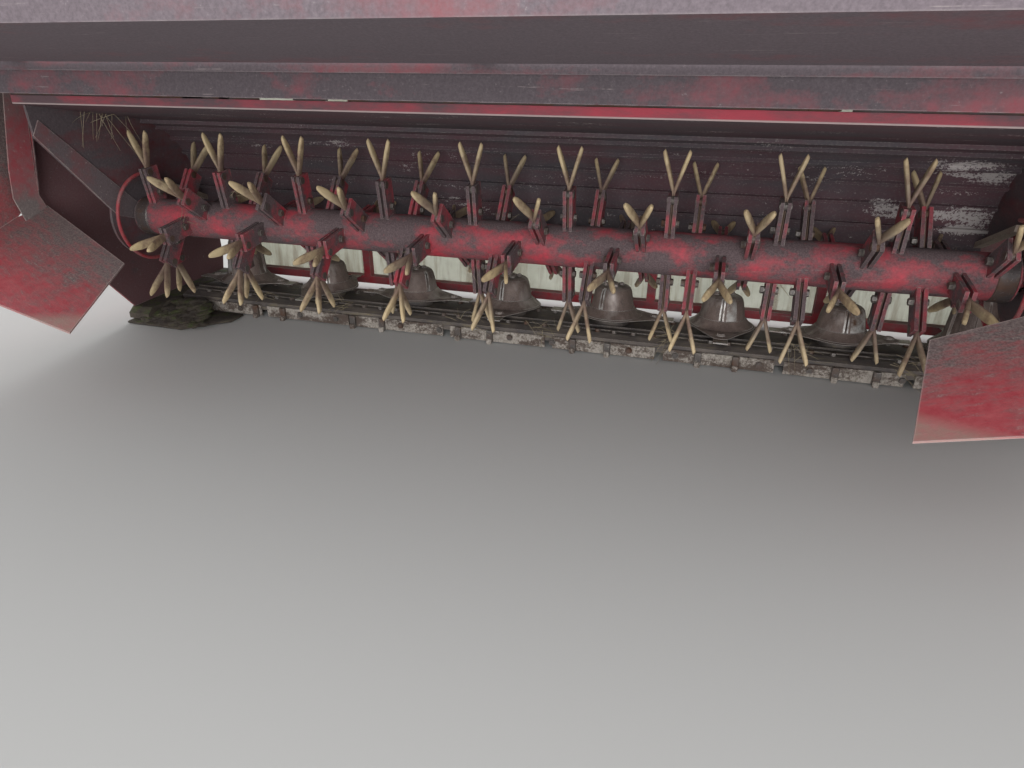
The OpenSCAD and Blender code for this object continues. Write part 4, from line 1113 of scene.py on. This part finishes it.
for side in SIDES:
    bolt_ring = circle(0.053, 6)
    shaft_bolts = spots(bolt_ring[:, 0], bolt_ring[:, 1], 0.0) @ facing((side, 0, 0)).T + GEAR_MIDDLE
    box_middle = np.array([side * abs(DISC_PLACES[0, 0]), GEAR_MIDDLE[1], GEAR_MIDDLE[2]])
    split_middle = box_middle + [0.0, 0.0, SIDE_SPLIT_LEVEL]
    fittings += [bolts(0.013, 0.008, shaft_bolts + [side * 0.115, 0.0, 0.0], (side, 0, 0)),
                 many(plate(0.083, 0.073, SIDE_SPLIT_THICK), np.eye(3), split_middle),
                 bolts(0.014, 0.009, corners(0.074, 0.064, SIDE_SPLIT_THICK) + split_middle),
                 many(cover_plate(0.050, 0.042, 0.005, (-0.04, 0.04), 0.033), facing(REARWARD),
                      box_middle + [0.0, -0.065, 0.020]),
                 bolts(0.019, 0.011, corners(0.088, 0.078, -0.244) + box_middle)]
piece("gearbox_fittings", joined(*fittings), cast_iron, "root")

# Cross shafts: turned steel shafts from the middle gearbox to the side ones, joined to each box by
# a sleeve of three clamped rings. The input stub on the middle gearbox is the same steel.
SLEEVE_PLACES = (0.190, 1.250)
SLEEVE_RINGS = ((-0.045, 0.036), (0.0, 0.0375), (0.045, 0.036))
clad(["cross_shaft", "input_shaft"], dirty_steel("shaft steel", (0.16, 0.15, 0.14), shine=0.4))
sleeves = []
for side in SIDES:
    for x in SLEEVE_PLACES:
        for offset, radius in SLEEVE_RINGS:
            sleeve = turned([radius - 0.002, radius, radius, radius - 0.002], [-0.021, -0.019, 0.019, 0.021])
            sleeves.append(many(sleeve, facing((1, 0, 0)), GEAR_MIDDLE + [side * (x + offset), 0.0, 0.0]))
sleeve_steel = dirty_steel("sleeve steel", (0.19, 0.18, 0.17), shine=0.45)
piece("shaft_sleeves", joined(*sleeves), sleeve_steel, "root")

# Belt guard on the right wall: a deep-drawn steel cover round the rotor's drive, painted as the
# beam. Small bolts round its flat outer face hold it.
guard_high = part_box("belt_guard")[1]
GUARD_ENDS = ((0.0, AXIS[2], 0.079, (200.0, 250.0, 300.0)),
              (0.290, guard_high[2] - 0.120, 0.104, (-10.0, 40.0, 90.0, 140.0)))
clad(["belt_guard"], beam_paint)
rim_bolts = []
for y, z, radius, angles in GUARD_ENDS:
    angle = np.radians(angles)
    rim_bolts.append(spots(guard_high[0], AXIS[1] + y + radius * np.cos(angle), z + radius * np.sin(angle)))
piece("belt_guard_bolts", bolts(0.013, 0.006, np.concatenate(rim_bolts), (1, 0, 0)),
      bolt_steel, "root")

# Swages of the outer walls: three long ribs, pressed into each sheet from inside to stiffen it.
# They are the wall's own sheet and carry its paint.
SWAGE_RISE, SWAGE_HALF = 0.0032, 0.014
SWAGES = ((0.80, -0.12, 0.62), (0.66, -0.06, 0.62), (0.52, -0.02, 0.62))
wall_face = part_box("outer_wall_right")[1][0] - 0.0002


def swage(side, z, y_from, y_to):
    """Pressed rib along Y: a half ellipse over the sheet that runs out to nothing at both ends."""
    y = np.linspace(y_from, y_to, 17)[:, None]
    fade = np.sin(np.clip(np.minimum(y - y_from, y_to - y) / 0.05, 0.0, 1.0) * math.pi / 2.0) * 0.98 + 0.02
    turn = np.linspace(0.0, math.pi, 9)
    out = np.append(np.sin(turn) * SWAGE_RISE, -0.0006)
    up = np.append(np.cos(turn) * SWAGE_HALF, 0.0)
    return surface(side * (wall_face + out * fade), y, z + side * up * (0.3 + 0.7 * fade))


swages = [swage(side, z, AXIS[1] + y_from, AXIS[1] + y_to) for side in SIDES for z, y_from, y_to in SWAGES]
piece("wall_swages", joined(*swages), outer_paint, "root", smooth=60.0)

# Straw and dry grass: wisps of last season's crop caught on the left wall under the cover, round
# the rotor at its brackets, and in wads on the cutterbar. Thin bent stalks, pale and brittle.
WADS = (-1.22, -0.84, -0.34, -0.05, 0.43, 0.86, 1.18)
STRAWY_TINES = (2, 5, 9, 10, 17, 26, 33, 34, 47, 56, 61, 68)
FLOOR_GAP, STALK_RADIUS = 0.003, 0.0011
straw_finish = Finish("dry straw")
shade = straw_finish.noise(30.0)
straw = straw_finish.done(straw_finish.fade(shade, 0.35, 0.65, (0.40, 0.34, 0.24), (0.20, 0.16, 0.10)), 0.8)
chance = np.random.default_rng(31)


def stalks(start, way, count, spread, length, sag=0.0, lowest=-1.0):
    """Stalks from round a point: each follows its own way, bends down by the sag with the square
    of the distance, waves sideways with a sine and lies down at the lowest height."""
    made = []
    for one in range(count):
        first = np.array(start) + chance.normal(0.0, spread, 3)
        heading = np.array(way) + chance.normal(0.0, 0.45, 3)
        heading /= np.linalg.norm(heading)
        reach = np.linspace(0.0, length * chance.uniform(0.4, 1.0), 7)[:, None]
        side = np.cross(heading, (0.23, 0.41, 0.88))
        path = first + reach * heading + 0.06 * length * np.sin(reach / length * 5.0 + one) * side
        path[:, 2] = np.maximum(path[:, 2] - sag * reach[:, 0] ** 2 / length, lowest)
        made.append(rod(path, STALK_RADIUS * np.linspace(1.0, 0.4, 7), sides=4, up=SKEWED))
    return made


wisps = stalks((-1.462, AXIS[1] - 0.10, 0.845), (0.10, -0.25, -1.0), 26, 0.030, 0.17)
for x in WADS:
    wisps += stalks((x, AXIS[1] + 0.26, 0.072), (chance.uniform(-1.0, 1.0), -0.6, 0.1), 16, 0.020, 0.09, 0.3,
                    lowest=FLOOR_GAP)
piece("straw_wisps", joined(*wisps), straw, "root", smooth=80.0)
on_rotor = []
for number in STRAWY_TINES:
    turn = turn_x(angle_of[number])[0]
    for stalk in stalks((0.0, 0.004, 0.085), (0.5, 0.8, 0.4), 7, 0.010, 0.075):
        on_rotor.append(placed(stalk, turn, on_axis[number]))
piece("rotor_straw", joined(*on_rotor), straw, "rotor", smooth=80.0)

# Plain pale floor, and soft studio light: a large lamp behind the camera and a higher one in front
# of the machine, in a white room that looks full white and lights the rest at four fifths of that.
FLOOR_RADIUS = 14.0
ROOM_LIGHT, ROOM_SEEN = 0.80, 1.0
floor_mesh = bpy.data.meshes.new("floor")
rim = circle(FLOOR_RADIUS, 64)
floor_mesh.from_pydata(spots(rim[:, 0], rim[:, 1], 0.0).tolist(), [], [list(range(64))])
floor_mesh.materials.append(Finish("pale floor").done((0.56, 0.56, 0.55), 0.9))
floor = bpy.data.objects.new("floor", floor_mesh)
scene.collection.objects.link(floor)
world = bpy.data.worlds.new("studio room")
world.use_nodes = True
scene.world = world
links, plain = world.node_tree.links, world.node_tree.nodes["Background"]
path = world.node_tree.nodes.new("ShaderNodeLightPath")
seen = path.outputs["Is Camera Ray"]
for other in ("Is Glossy Ray", "Is Transmission Ray"):
    either = world.node_tree.nodes.new("ShaderNodeMath")
    either.operation = "MAXIMUM"
    links.new(seen, either.inputs[0])
    links.new(path.outputs[other], either.inputs[1])
    seen = either.outputs[0]
level = world.node_tree.nodes.new("ShaderNodeMapRange")
links.new(seen, level.inputs["Value"])
level.inputs["To Min"].default_value = ROOM_LIGHT
level.inputs["To Max"].default_value = ROOM_SEEN
links.new(level.outputs["Result"], plain.inputs["Strength"])
plain.inputs["Color"].default_value = (1.0, 1.0, 1.0, 1.0)


def soft_lamp(name, place, target, size, power):
    """Square area lamp at its place, facing the target."""
    lamp_data = bpy.data.lights.new(name, "AREA")
    lamp_data.size = size
    lamp_data.energy = power
    lamp = bpy.data.objects.new(name, lamp_data)
    lamp.location = place
    way = np.array(target) - np.array(place)
    level_turn = math.atan2(way[1], way[0]) - math.pi / 2.0
    lamp.rotation_euler = Euler((math.acos(-way[2] / np.linalg.norm(way)), 0.0, level_turn))
    scene.collection.objects.link(lamp)


soft_lamp("rear lamp", (1.0, -4.8, 1.5), (0.0, 0.0, 0.5), 3.0, 150.0)
soft_lamp("front lamp", (-1.5, 4.6, 2.6), (0.0, 0.8, 0.4), 3.2, 130.0)
scene.view_settings.view_transform = "Standard"
